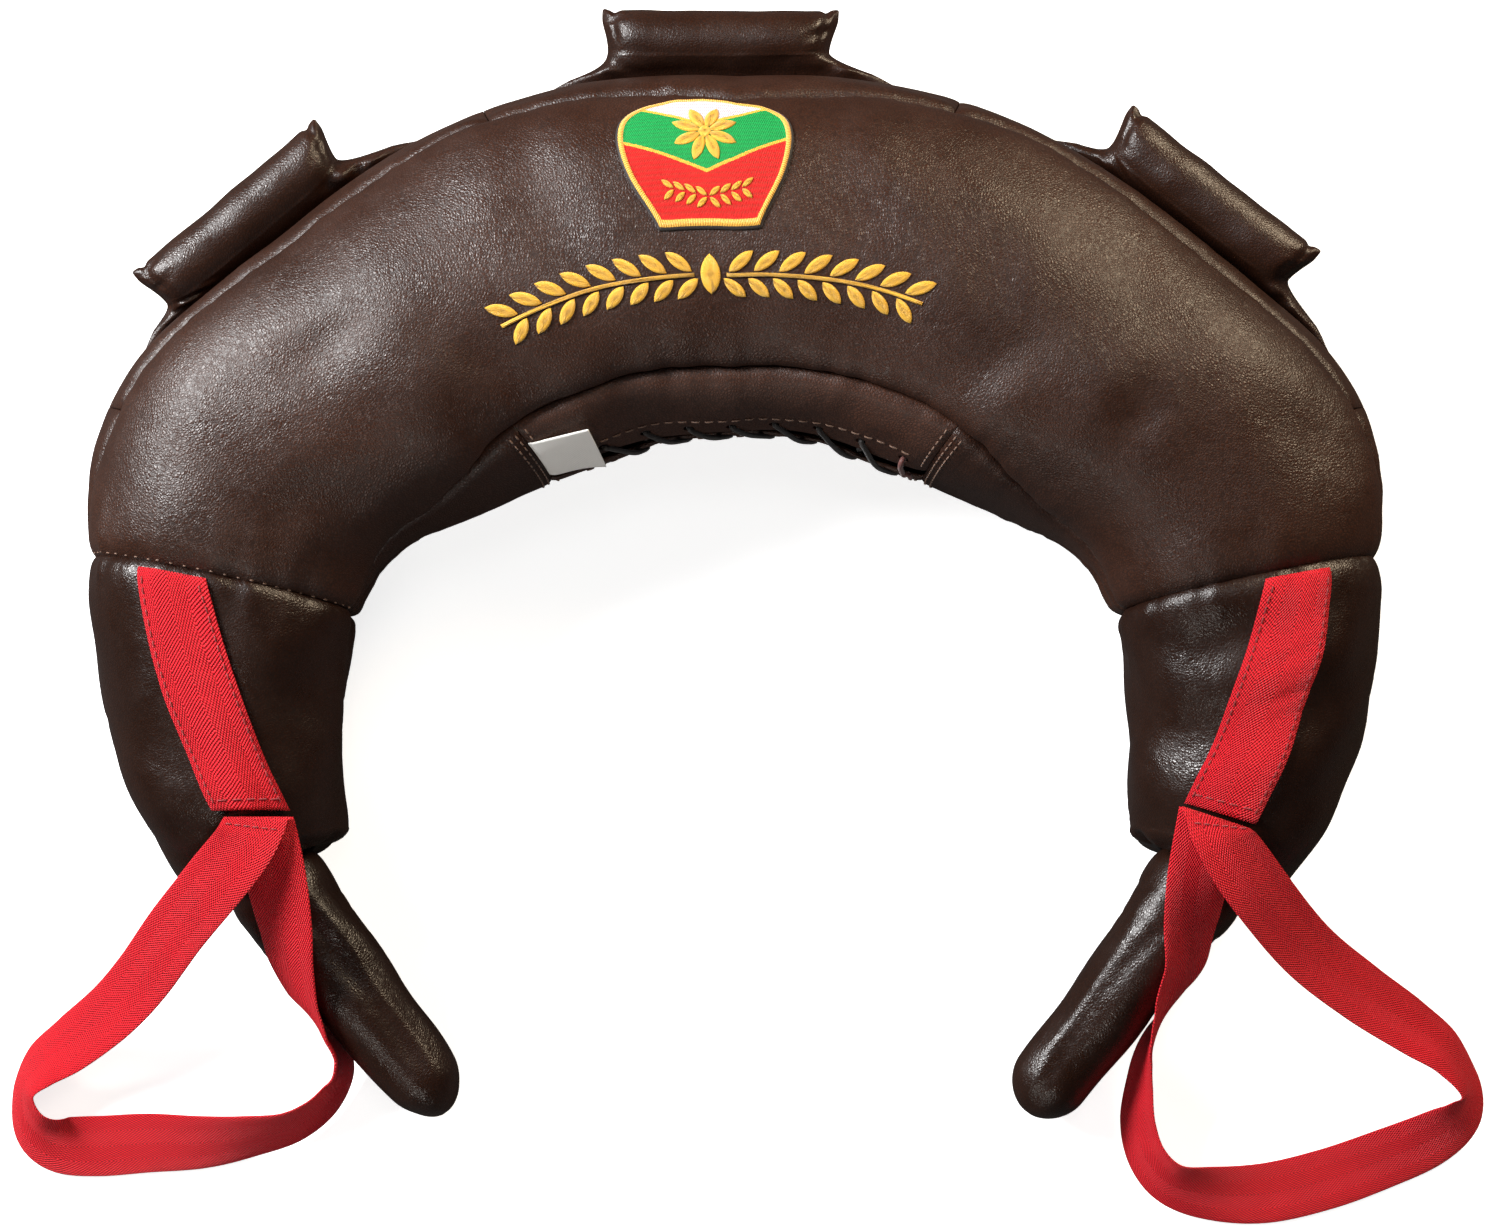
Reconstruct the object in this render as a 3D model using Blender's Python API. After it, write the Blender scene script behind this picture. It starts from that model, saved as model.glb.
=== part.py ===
"""A bulgarian bag: a stuffed leather crescent with three grips, two horns and two webbing hand loops.

It lies on its back with its front up (+Z) and its crown towards +Y. Points on the crescent are given by an
angle round the collar, counted from the crown and positive to the right, and by a turn round the stuffed
tube, counted from the top and positive towards the outer edge, both in degrees.
"""

import math

import bmesh
import bpy
from mathutils import Matrix, Vector

# Driving sizes, in metres

collar_radius = 0.115
crown_width = 0.163
crown_height = 0.146
floor_sag = 0.006
leather = 0.002
seam_gap = 0.0005
filling_gap = 0.0018
trim_gap = 0.0004
wool_thickness = 0.014
bag_end_gap = 0.0015
bag_gap = 0.0004
weld_distance = 0.0000001

closure_gap = 0.012
lace_hole_inset = 0.009
lace_hole_diameter = 0.0048
lace_diameter = 0.0024
lace_clearance = 0.0004

roll_length = 0.104
roll_diameter = 0.0276
roll_stand = 0.0155
web_base_length = 0.150
web_neck_height = 0.0085
web_edge_height = 0.0016
web_ply_gap = 0.0006
core_gap = 0.0005

horn_length = 0.125
horn_root_diameter = 0.047
horn_root_height = 0.036
horn_tip_drop = 0.016
horn_ball_gap = 0.0004
horn_tip_flat = 0.0012

webbing_width = 0.029
webbing_thickness = 0.0018
loop_size = 0.150
loop_ply_gap = 0.0008
loop_floor_gap = 0.0006
strap_end_gap = 0.0038
loop_root_lift = 0.0022

patch_width = 0.077
patch_height = 0.053
patch_thickness = 0.0014
label_thickness = 0.0007
label_lift = 0.0046
label_free_gap = 0.0016

# Angles and turns, in degrees

arm_seam_angle = 78.5
arm_lobe_angle = 108.5
horn_root_angle = 113.4
horn_lean = 36.5
horn_rim_tilt = 20.0
top_handle_angle = -1.4
side_handle_angle = 45.5
top_handle_lean = 15.0
side_handle_lean = 38.0
top_gusset_half_angle = 22.3
side_gusset_end_angle = 65.8
closure_half_angle = 41.0
lace_first_angle = -29.0
lace_last_angle = 36.1
lace_holes = 8
flap_reach_turn = 4.5
strap_top_angle = 79.0
loop_root_angle = 105.4
loop_root_turn = -9.0
strap_top_turn = 13.0
left_fold_slope = 0.0
right_fold_slope = 18.0
patch_angle = -3.8
patch_turn = 22.5
label_first_turn = -58.0
label_last_turn = -87.0
web_heel_turn = 75.0
widest_edge_search = 40.0
finest_edge_search = 0.001
edge_step = 0.5
along_step = 0.01
route_step = 0.05
sharp_angle = 50.0

# How full the tube's section is: 2 is an ellipse
fullness = 2.25

# Angle, inner radius in collar radii, width in crown widths, height in crown heights
outline_shares = (
    (0, 1.000, 1.000, 1.000),
    (10, 1.008, 1.018, 1.000),
    (20, 1.030, 1.025, 1.000),
    (30, 1.052, 1.024, 0.995),
    (40, 1.091, 1.005, 0.985),
    (46, 1.130, 0.990, 0.975),
    (52, 1.190, 0.984, 0.965),
    (60, 1.300, 0.972, 0.940),
    (66, 1.409, 0.914, 0.910),
    (72, 1.475, 0.850, 0.875),
    (80, 1.500, 0.776, 0.815),
    (90, 1.535, 0.684, 0.735),
    (100, 1.562, 0.608, 0.665),
    (106, 1.605, 0.530, 0.600),
    (110, 1.655, 0.450, 0.525),
    (114, 1.720, 0.345, 0.440),
)

# Angle and turn of the long seams of the front panel; the back panel's seams mirror them
outer_seam_turns = ((0, 50), (16, 58), (30, 63), (46, 62), (66, 63), (79, 78))
inner_seam_turns = ((0, 49), (22, 48), (44, 50), (54, 62), (62, 75), (72, 83), (79, 86))

# Distance from a sand bag's end as a share of a column, and how full the bag is there
end_shares = ((0.0, 0.55), (0.35, 0.88))

# Share of the roll's half length, then its half thickness, half height and rise in roll radii
roll_shares = (
    (0.00, 1.00, 1.00, 0.00),
    (0.60, 1.00, 1.00, 0.00),
    (0.80, 0.90, 0.98, 0.03),
    (0.92, 0.55, 0.95, 0.11),
    (1.00, 0.27, 0.93, 0.18),
)

# Where the rings of a grip lie, as shares of the roll's half length, of its foam's and of the web's flare
roll_ring_shares = (0.5, 0.72, 0.86, 0.94, 1.0)
core_ring_shares = (0.6, 0.78)
web_flare_shares = (0.28, 0.61, 1.0)
web_fall_power = 1.6

# Where a grip's foam begins to taper and where it ends, as shares of the roll's half length, and by how much
core_taper_share = 0.7
core_end_share = 0.82
core_taper_depth_share = 0.3

# Share of the horn's length and its radius as a share of the root's
horn_shares = ((0.0, 1.0), (0.08, 0.975), (0.2, 0.935), (0.5, 0.875), (0.8, 0.79), (1.0, 0.73))
horn_ring_shares = (0.0, 0.09, 0.2, 0.36, 0.54, 0.72, 0.86, 0.93, 0.975, 1.0)
horn_tip_share = 0.15
horn_mouth_share = 0.62

# Rows of an arm's round end, between 1 where it begins and 2 at the rim round the horn
lobe_rows = (1.35, 1.7)

# Routes of the hand loops from the stitch line and back: outward and downward in loop sizes, height as a
# share of the stitch line's, and the webbing's tilt in degrees, 0 lying flat and 90 on edge
left_loop_shares = (
    (0.000, 0.000, 1.000, 0),
    (0.043, 0.087, 0.985, 0),
    (0.146, 0.203, 0.860, 4),
    (0.267, 0.326, 0.640, 8),
    (0.393, 0.469, 0.400, 12),
    (0.500, 0.573, 0.260, 18),
    (0.633, 0.671, 0.130, 26),
    (0.732, 0.739, 0.050, 42),
    (0.785, 0.818, 0.000, 60),
    (0.767, 0.916, 0.000, 48),
    (0.692, 0.979, 0.000, 26),
    (0.572, 0.989, 0.000, 16),
    (0.411, 0.979, 0.000, 20),
    (0.248, 0.975, 0.000, 32),
    (0.097, 0.956, 0.000, 48),
    (-0.036, 0.928, 0.000, 60),
    (-0.131, 0.867, 0.000, 68),
    (-0.187, 0.781, 0.020, 76),
    (-0.186, 0.701, 0.080, 83),
    (-0.137, 0.621, 0.170, 92),
    (-0.089, 0.535, 0.300, 112),
    (-0.067, 0.433, 0.470, 132),
    (-0.060, 0.320, 0.640, 148),
    (-0.046, 0.197, 0.790, 162),
    (-0.026, 0.087, 0.905, 173),
    (-0.008, 0.000, 0.972, 180),
)
right_loop_shares = (
    (0.000, 0.000, 1.000, 0),
    (0.038, 0.081, 0.985, 0),
    (0.140, 0.214, 0.840, 4),
    (0.307, 0.385, 0.560, 10),
    (0.487, 0.515, 0.360, 16),
    (0.653, 0.618, 0.200, 28),
    (0.770, 0.698, 0.090, 44),
    (0.847, 0.806, 0.000, 60),
    (0.827, 0.892, 0.000, 44),
    (0.732, 0.966, 0.000, 26),
    (0.586, 1.028, 0.000, 18),
    (0.413, 1.089, 0.000, 14),
    (0.227, 1.131, 0.000, 16),
    (0.058, 1.130, 0.000, 30),
    (-0.073, 1.098, 0.000, 48),
    (-0.147, 1.018, 0.000, 58),
    (-0.174, 0.909, 0.000, 64),
    (-0.166, 0.781, 0.030, 74),
    (-0.149, 0.688, 0.100, 84),
    (-0.126, 0.621, 0.180, 94),
    (-0.091, 0.535, 0.300, 110),
    (-0.056, 0.430, 0.470, 128),
    (-0.050, 0.311, 0.640, 148),
    (-0.040, 0.180, 0.810, 164),
    (-0.023, 0.081, 0.910, 174),
    (-0.006, 0.000, 0.972, 180),
)

# Colours of the pieces: red, green, blue, roughness, metallic
brown_leather = (0.045, 0.022, 0.017, 0.38, 0.0)
red_webbing = (0.62, 0.012, 0.02, 0.75, 0.0)
black_cord = (0.012, 0.011, 0.011, 0.6, 0.0)
white_cloth = (0.82, 0.82, 0.8, 0.8, 0.0)
green_cloth = (0.02, 0.32, 0.09, 0.7, 0.0)
cream_wool = (0.7, 0.63, 0.5, 0.95, 0.0)
blue_canvas = (0.1, 0.13, 0.2, 0.85, 0.0)
grey_foam = (0.25, 0.25, 0.25, 0.9, 0.0)

up = Vector((0, 0, 1))


# Reading tables and spacing points


def read(table, place):
    """The values of a table at a place, on a smooth curve through its rows."""
    last = len(table) - 1
    place = min(max(place, table[0][0]), table[last][0])
    row = 0
    while row < last - 1 and table[row + 1][0] < place:
        row += 1
    start, end = table[row], table[row + 1]
    before, after = table[max(row - 1, 0)], table[min(row + 2, last)]
    span = end[0] - start[0]
    t = (place - start[0]) / span
    values = []
    for column in range(1, len(start)):
        slope_in = (end[column] - before[column]) / (end[0] - before[0]) * span
        slope_out = (after[column] - start[column]) / (after[0] - start[0]) * span
        rise = end[column] - start[column]
        bend = slope_in - rise
        swing = rise - slope_out
        values.append(start[column] + rise * t + t * (1 - t) * (bend * (1 - t) + swing * t))
    return values


def spread(first, last, count):
    """Evenly spaced values from first to last, count steps apart."""
    return [first + (last - first) * step / count for step in range(count + 1)]


def mirrored(values):
    """Values on both sides of a middle at 0."""
    return [*[-value for value in reversed(values)], 0.0, *values]


def polar(radius, angle, height=0.0):
    return Vector((radius * math.sin(math.radians(angle)), radius * math.cos(math.radians(angle)), height))


def ease(share):
    share = min(max(share, 0.0), 1.0)
    return share * share * (3 - 2 * share)


# The crescent's skin


def section(angle):
    """Radius of the tube's middle, half its width and half its height at an angle round the collar."""
    inner_share, width_share, height_share = read(outline_shares, abs(angle))
    half_width = crown_width * width_share / 2
    return collar_radius * inner_share + half_width, half_width, crown_height * height_share / 2


def skin(angle, turn, inset=0.0):
    """A point on the crescent, or the inset inside it, flat where it lies on the floor."""
    radius, half_width, half_height = section(angle)
    side = math.sin(math.radians(turn))
    rise = math.cos(math.radians(turn))
    side = math.copysign(abs(side) ** (2 / fullness), side)
    rise = math.copysign(abs(rise) ** (2 / fullness), rise)
    reach = half_height - inset if rise > 0 else half_height + floor_sag - inset
    height = max(half_height + reach * rise, inset)
    return polar(radius + (half_width - inset) * side, angle, height)


def turn_of(length, angle):
    """The turn that a length along the section takes up, in degrees."""
    _, half_width, half_height = section(angle)
    return math.degrees(2 * length / (half_width + half_height))


def angle_of(length, angle, turn):
    """The angle round the collar that a length along the tube takes up, in degrees."""
    point = skin(angle, turn)
    return math.degrees(length / math.hypot(point.x, point.y))


def outer_seam(angle):
    return read(outer_seam_turns, abs(angle))[0]


def inner_seam(angle):
    return -read(inner_seam_turns, abs(angle))[0]


# Objects


bpy.context.preferences.edit.use_global_undo = False
for old in list(bpy.data.objects):
    bpy.data.objects.remove(old, do_unlink=True)

parts = bpy.data.collections.new("bulgarian_bag")
cutters = bpy.data.collections.new("cutters")
for group in (parts, cutters):
    bpy.context.scene.collection.children.link(group)

bag_frame = bpy.data.objects.new("bag_frame", None)
parts.objects.link(bag_frame)


def finish(name, data, colour, parent=None):
    """Puts a mesh or curve in the scene as a named part with its own material."""
    material = bpy.data.materials.new(name)
    material.use_nodes = True
    shader = material.node_tree.nodes["Principled BSDF"]
    shader.inputs["Base Color"].default_value = (*colour[:3], 1)
    shader.inputs["Roughness"].default_value = colour[3]
    shader.inputs["Metallic"].default_value = colour[4]
    material.diffuse_color = (*colour[:3], 1)
    data.materials.append(material)
    piece = bpy.data.objects.new(name, data)
    parts.objects.link(piece)
    piece.parent = parent or bag_frame
    return piece


def face_outwards(shape):
    bmesh.ops.recalc_face_normals(shape, faces=shape.faces)
    if shape.calc_volume(signed=True) < 0:
        bmesh.ops.reverse_faces(shape, faces=shape.faces)


def finish_mesh(name, shape, colour, parent=None):
    face_outwards(shape)
    mesh = bpy.data.meshes.new(name)
    shape.to_mesh(mesh)
    shape.free()
    mesh.shade_smooth()
    mesh.set_sharp_from_angle(angle=math.radians(sharp_angle))
    return finish(name, mesh, colour, parent)


def flat_grid(columns, rows):
    """A grid over the unit square, with a lookup from its points to the given column and row values."""
    shape = bmesh.new()
    bmesh.ops.create_grid(shape, x_segments=len(columns) - 1, y_segments=len(rows) - 1, size=0.5)

    def values(point):
        column = round((point.x + 0.5) * (len(columns) - 1))
        row = round((point.y + 0.5) * (len(rows) - 1))
        return columns[column], rows[row]

    return shape, values


def shell(name, columns, rows, place, colour, parent=None, ring=False):
    """A sheet one unit thick, warped: place takes a column value, a row value and a depth from 0 to 1."""
    shape, values = flat_grid(columns, rows)
    below = bmesh.ops.extrude_face_region(shape, geom=shape.faces[:])["geom"]
    for item in below:
        if isinstance(item, bmesh.types.BMVert):
            item.co.z = -1
    if ring:
        ends = [face for face in shape.faces if len({round(v.co.y, 4) for v in face.verts}) == 1]
        bmesh.ops.delete(shape, geom=ends, context="FACES_ONLY")
    for vert in shape.verts:
        column, row = values(vert.co)
        vert.co = place(column, row, -vert.co.z)
    if ring:
        bmesh.ops.remove_doubles(shape, verts=shape.verts, dist=weld_distance)
    return finish_mesh(name, shape, colour, parent)


def tube(name, stations, sides, place, colour, parent=None):
    """A closed solid of rings, one at each station: place takes a station and a turn."""
    shape, values = flat_grid(stations, spread(-180.0, 180.0, sides))
    for vert in shape.verts:
        station, turn = values(vert.co)
        vert.co = place(station, turn)
    bmesh.ops.remove_doubles(shape, verts=shape.verts, dist=weld_distance)
    rims = [edge for edge in shape.edges if edge.is_boundary]
    bmesh.ops.holes_fill(shape, edges=rims, sides=0)
    return finish_mesh(name, shape, colour, parent)


def cutter(name, shape, parent=None):
    """Keeps a closed shape as a hidden cutting tool."""
    face_outwards(shape)
    mesh = bpy.data.meshes.new(name)
    shape.to_mesh(mesh)
    shape.free()
    tool = bpy.data.objects.new(name, mesh)
    cutters.objects.link(tool)
    tool.parent = parent or bag_frame
    tool.hide_render = True
    tool.display_type = "WIRE"
    return tool


def combine(piece, tool, operation):
    change = piece.modifiers.new(tool.name, "BOOLEAN")
    change.operation = operation
    change.object = tool


# Leather panels of the crescent


side_columns = 6
crown_columns = 12
left_angles = spread(-arm_seam_angle, -closure_half_angle, side_columns)
crown_angles = spread(-closure_half_angle, closure_half_angle, crown_columns)
right_angles = spread(closure_half_angle, arm_seam_angle, side_columns)
all_angles = [*left_angles, *crown_angles[1:-1], *right_angles]


def drawn_in(angles, gap):
    """The angles with both ends drawn in by half a gap."""
    end = math.degrees(gap / (2 * collar_radius))
    return [angles[0] + end, *angles[1:-1], angles[-1] - end]


def panel(name, angles, rows, low_turn, high_turn):
    """Leather along a row of angles and between two seams; the seams are functions of the angle."""

    def place(angle, share, depth):
        low = low_turn(angle) + turn_of(seam_gap / 2, angle)
        high = high_turn(angle) - turn_of(seam_gap / 2, angle)
        return skin(angle, low + (high - low) * share, leather * depth)

    return shell(name, drawn_in(angles, seam_gap), spread(0.0, 1.0, rows), place, brown_leather)


def back_outer_seam(angle):
    return 180 - outer_seam(angle)


def back_inner_seam(angle):
    return -180 - inner_seam(angle)


def build_panels():
    panel("front_panel", all_angles, 9, inner_seam, outer_seam)
    panel("back_panel", all_angles, 9, back_outer_seam, lambda angle: 180 - inner_seam(angle))


def build_outer_gussets():
    left_cut = top_handle_angle - top_gusset_half_angle
    right_cut = top_handle_angle + top_gusset_half_angle
    spans = (
        ("outer_gusset_left_end", -arm_seam_angle, -side_gusset_end_angle, 3),
        ("outer_gusset_left", -side_gusset_end_angle, left_cut, 8),
        ("outer_gusset_top", left_cut, right_cut, 8),
        ("outer_gusset_right", right_cut, side_gusset_end_angle, 8),
        ("outer_gusset_right_end", side_gusset_end_angle, arm_seam_angle, 3),
    )
    for name, first, last, columns in spans:
        panel(name, spread(first, last, columns), 4, outer_seam, back_outer_seam)


def build_inner_gussets():
    panel("inner_gusset_left", left_angles, 5, back_inner_seam, inner_seam)
    panel("inner_gusset_right", right_angles, 5, back_inner_seam, inner_seam)


# The laced opening


def flap_edge(angle):
    """The turn from the middle of the inner side to a flap's free edge."""
    return turn_of(closure_gap / 2, angle)


def hole_turn(angle):
    return flap_edge(angle) + turn_of(lace_hole_inset, angle)


def hole_angles():
    return spread(lace_first_angle, lace_last_angle, lace_holes - 1)


def hole_punches(name, side):
    """One round punch square to the skin at each lace hole, on the front (+1) or back (-1) flap."""
    shape = bmesh.new()
    length = leather * 6
    for angle in hole_angles():
        turn = -90 + side * hole_turn(angle)
        inward = skin(angle, turn, leather) - skin(angle, turn)
        spin = inward.to_track_quat("Z", "Y").to_matrix().to_4x4()
        place = Matrix.Translation(skin(angle, turn, leather / 2)) @ spin
        bmesh.ops.create_cone(
            shape,
            cap_ends=True,
            segments=8,
            radius1=lace_hole_diameter / 2,
            radius2=lace_hole_diameter / 2,
            depth=length,
            matrix=place,
        )
    return cutter(name, shape)


def lace_route():
    """The lace's points: over both edges outside the flaps, through a back hole and on inside to the next."""
    lift = lace_clearance + lace_diameter / 2
    depth = leather + lift
    angles = hole_angles()
    step = angles[1] - angles[0]
    route = []
    for number, angle in enumerate(angles):
        turn = hole_turn(angle)
        for share in spread(-1.0, 1.0, 8):
            route.append(skin(angle, -90 - turn * share, -lift))
        route.append(skin(angle, -90 - turn, leather / 2))
        if number == len(angles) - 1:
            break
        for share in spread(0.0, 1.0, 6):
            across = hole_turn(angle + step * share) * (2 * share - 1)
            route.append(skin(angle + step * share, -90 + across, depth))
        route.append(skin(angle + step, -90 + hole_turn(angle + step), leather / 2))
    return route


def least_gap(route, diameter):
    """The least gap between stretches of a tube that are further apart along it than six diameters."""
    travelled = [0.0]
    for start, end in zip(route, route[1:]):
        travelled.append(travelled[-1] + (end - start).length)
    apart = []
    for here in range(len(route)):
        for there in range(here + 1, len(route)):
            if travelled[there] - travelled[here] > 6 * diameter:
                apart.append((route[here] - route[there]).length)
    return min(apart) - diameter


def cord(name, route, diameter, colour):
    """A round cord along the points, as a curve with filled ends."""
    curve = bpy.data.curves.new(name, "CURVE")
    curve.dimensions = "3D"
    curve.bevel_depth = diameter / 2
    curve.bevel_resolution = 1
    curve.use_fill_caps = True
    line = curve.splines.new("POLY")
    line.points.add(len(route) - 1)
    for point, place in zip(line.points, route):
        point.co = (*place, 1)
    return finish(name, curve, colour)


def build_closure():
    front = panel("closure_flap_front", crown_angles, 4, lambda angle: -90 + flap_edge(angle), inner_seam)
    back = panel("closure_flap_back", crown_angles, 4, back_inner_seam, lambda angle: -90 - flap_edge(angle))
    combine(front, hole_punches("front_hole_punches", 1), "DIFFERENCE")
    combine(back, hole_punches("back_hole_punches", -1), "DIFFERENCE")

    guard_inset = leather + lace_diameter + 3 * lace_clearance

    def guard(angle, share, depth):
        reach = hole_turn(angle) + flap_reach_turn
        return skin(angle, -90 + reach * share, guard_inset + leather * depth)

    shell("lace_guard", drawn_in(crown_angles, 2 * leather), spread(-1.0, 1.0, 5), guard, brown_leather)

    route = lace_route()
    cord("closure_lace", route, lace_diameter, black_cord)
    print("closure_lace: least gap to itself", round(least_gap(route, lace_diameter), 5), "m")


def closure_dip(angle, turn):
    """How much deeper the wool lies behind the laced opening, where the flaps, lace and guard are."""
    guard_depth = lace_diameter + leather + 3 * lace_clearance
    reach = hole_turn(angle) + 2 * flap_reach_turn
    beside = ease((reach + flap_reach_turn * 3 - abs(turn + 90)) / (flap_reach_turn * 3))
    along = ease((closure_half_angle + 2 * flap_reach_turn - abs(angle)) / flap_reach_turn)
    return guard_depth * beside * along


# Filling of the crescent


def build_filling():
    outside = leather + filling_gap
    inside = outside + wool_thickness

    def lining(angle, turn, depth):
        shallow = outside + closure_dip(angle, turn)
        return skin(angle, turn, shallow + (inside - shallow) * depth)

    def bag(station, turn):
        angle, share = station
        radius, _, half_height = section(angle)
        middle = polar(radius, angle, half_height)
        return middle + (skin(angle, turn, inside + bag_gap) - middle) * share

    for name, angles in (("left", left_angles), ("crown", crown_angles), ("right", right_angles)):
        turns = spread(-180.0, 180.0, 18)
        shell(f"wool_{name}", drawn_in(angles, bag_end_gap), turns, lining, cream_wool, ring=True)
        inner = drawn_in(angles, 2 * bag_end_gap)
        step = inner[2] - inner[1]
        first = [(inner[0] + step * place, full) for place, full in end_shares]
        last = [(inner[-1] - step * place, full) for place, full in reversed(end_shares)]
        stations = [*first, *[(angle, 1.0) for angle in inner[1:-1]], *last]
        tube(f"sand_bag_{name}", stations, 18, bag, blue_canvas)


# Arms and horns


def beside(point, side):
    """A point of the right side, or its mirror on the left."""
    return Vector((side * point.x, point.y, point.z))


horn_heading = Vector((-math.sin(math.radians(horn_lean)), -math.cos(math.radians(horn_lean)), 0))
horn_outward = Vector((math.cos(math.radians(horn_lean)), -math.sin(math.radians(horn_lean)), 0))
ball_radius = horn_root_diameter / 2


def horn_root():
    radius, _, _ = section(horn_root_angle)
    return polar(radius, horn_root_angle, horn_root_height)


def ring_point(middle, radius, turn):
    """A point of a ring square to the horn."""
    spoke = horn_outward * math.sin(math.radians(turn)) + up * math.cos(math.radians(turn))
    return middle + spoke * radius


def arm_outside(along, turn):
    """The arm from its cross seam, at 0, over its round end, from 1, to the rim round the horn, at 2."""
    angle = arm_seam_angle + (arm_lobe_angle - arm_seam_angle) * min(along, 1.0)
    if along <= 1:
        return skin(angle, turn)
    radius, _, half_height = section(arm_lobe_angle)
    lobe_middle = polar(radius, arm_lobe_angle, half_height)
    rim_radius = ball_radius + horn_ball_gap + leather
    rim_middle = horn_root() - horn_heading * rim_radius * math.sin(math.radians(horn_rim_tilt))
    rim = ring_point(rim_middle, rim_radius * math.cos(math.radians(horn_rim_tilt)), turn)
    share = along - 1
    middle = lobe_middle.lerp(rim_middle, share)
    spoke = (skin(arm_lobe_angle, turn) - lobe_middle).lerp(rim - rim_middle, share * share)
    return middle + spoke


def arm_skin(along, turn, inset):
    """A point of the arm, or the inset inside it, measured square to its surface."""
    way_on = arm_outside(along + along_step, turn) - arm_outside(along - along_step, turn)
    way_round = arm_outside(along, turn + edge_step) - arm_outside(along, turn - edge_step)
    return arm_outside(along, turn) + way_round.cross(way_on).normalized() * inset


def horn_radius(reach, inset):
    """The horn's radius at a distance from the middle of its ball-shaped root."""
    if reach < 0:
        return math.sqrt((ball_radius - inset) ** 2 - reach**2)
    radius = ball_radius * read(horn_shares, reach / horn_length)[0] - inset
    tip_start = horn_length * (1 - horn_tip_share)
    beyond = (reach - tip_start) / (horn_length - inset - tip_start)
    return radius * math.sqrt(1 - beyond**2) if beyond > 0 else radius


def horn_point(reach, inset, turn):
    drop = horn_tip_drop * ease(max(reach, 0.0) / horn_length)
    return ring_point(horn_root() + horn_heading * reach - up * drop, horn_radius(reach, inset), turn)


def horn_reaches(inset, first):
    """Distances of the horn's rings, from the first to the tip's small flat."""
    last = horn_length - inset - horn_tip_flat / 4
    return [first + (last - first) * share for share in horn_ring_shares]


def build_arm(name, side):
    cover_rows = [*spread(seam_gap / (2 * collar_radius), 1.0, 5), *lobe_rows, 2.0]

    def cover(along, turn, depth):
        return beside(arm_skin(along, turn, leather * depth), side)

    shell(f"{name}_arm_cover", cover_rows, spread(-180.0, 180.0, 18), cover, brown_leather, ring=True)

    stuffing_start = math.degrees(bag_end_gap / (2 * collar_radius)) / (arm_lobe_angle - arm_seam_angle)
    stuffing_rows = [*spread(stuffing_start, 1.0, 5), *lobe_rows]

    def stuffing(along, turn):
        return beside(arm_skin(along, turn, leather + filling_gap), side)

    filling = tube(f"{name}_arm_stuffing", stuffing_rows, 18, stuffing, cream_wool)
    cup = bmesh.new()
    seat = Matrix.Translation(beside(horn_root(), side))
    cup_radius = ball_radius + 2 * horn_ball_gap
    bmesh.ops.create_uvsphere(cup, u_segments=20, v_segments=12, radius=cup_radius, matrix=seat)
    combine(filling, cutter(f"{name}_horn_cup", cup), "DIFFERENCE")


def build_horn(name, side):
    pivot = bpy.data.objects.new(f"{name}_horn_pivot", None)
    parts.objects.link(pivot)
    pivot.parent = bag_frame
    pivot.location = beside(horn_root(), side)

    def around(station, turn):
        reach, inset = station
        return beside(horn_point(reach, inset, turn), side) - pivot.location

    mouth = -horn_mouth_share * ball_radius
    outside = [(reach, 0.0) for reach in horn_reaches(0.0, mouth)]
    inside = [(reach, leather) for reach in horn_reaches(leather, mouth)]
    tube(f"{name}_horn_cover", [*reversed(outside), *inside], 14, around, brown_leather, pivot)
    filling_inset = leather + trim_gap
    filling = [(reach, filling_inset) for reach in horn_reaches(filling_inset, mouth)]
    tube(f"{name}_horn_stuffing", filling, 14, around, cream_wool, pivot)


# Straps and hand loops


def loop_root(side):
    """The middle of the stitch line that a hand loop swings about, between its two ends."""
    lift = loop_root_lift + webbing_thickness + (webbing_thickness + loop_ply_gap) / 2
    return beside(skin(loop_root_angle, loop_root_turn, -lift), side)


def build_strap(name, side, fold_slope):
    """Webbing sewn down the front of the arm; its lower end runs along the loop's fold."""
    reach = angle_of(strap_end_gap, loop_root_angle, loop_root_turn)
    fold = math.tan(math.radians(loop_root_angle - 90 - fold_slope))
    skew = angle_of(webbing_width * fold, loop_root_angle, loop_root_turn)

    def place(share, across, depth):
        angle = strap_top_angle + (loop_root_angle - reach - strap_top_angle) * share
        angle -= skew * across * share**3
        turn = strap_top_turn + (loop_root_turn - strap_top_turn) * share
        turn += turn_of(webbing_width * across, angle)
        lift = trim_gap + webbing_thickness * (1 - depth)
        return beside(skin(angle, turn, -lift), side)

    shell(f"{name}_strap", spread(0.0, 1.0, 9), spread(-0.5, 0.5, 4), place, red_webbing)


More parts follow.
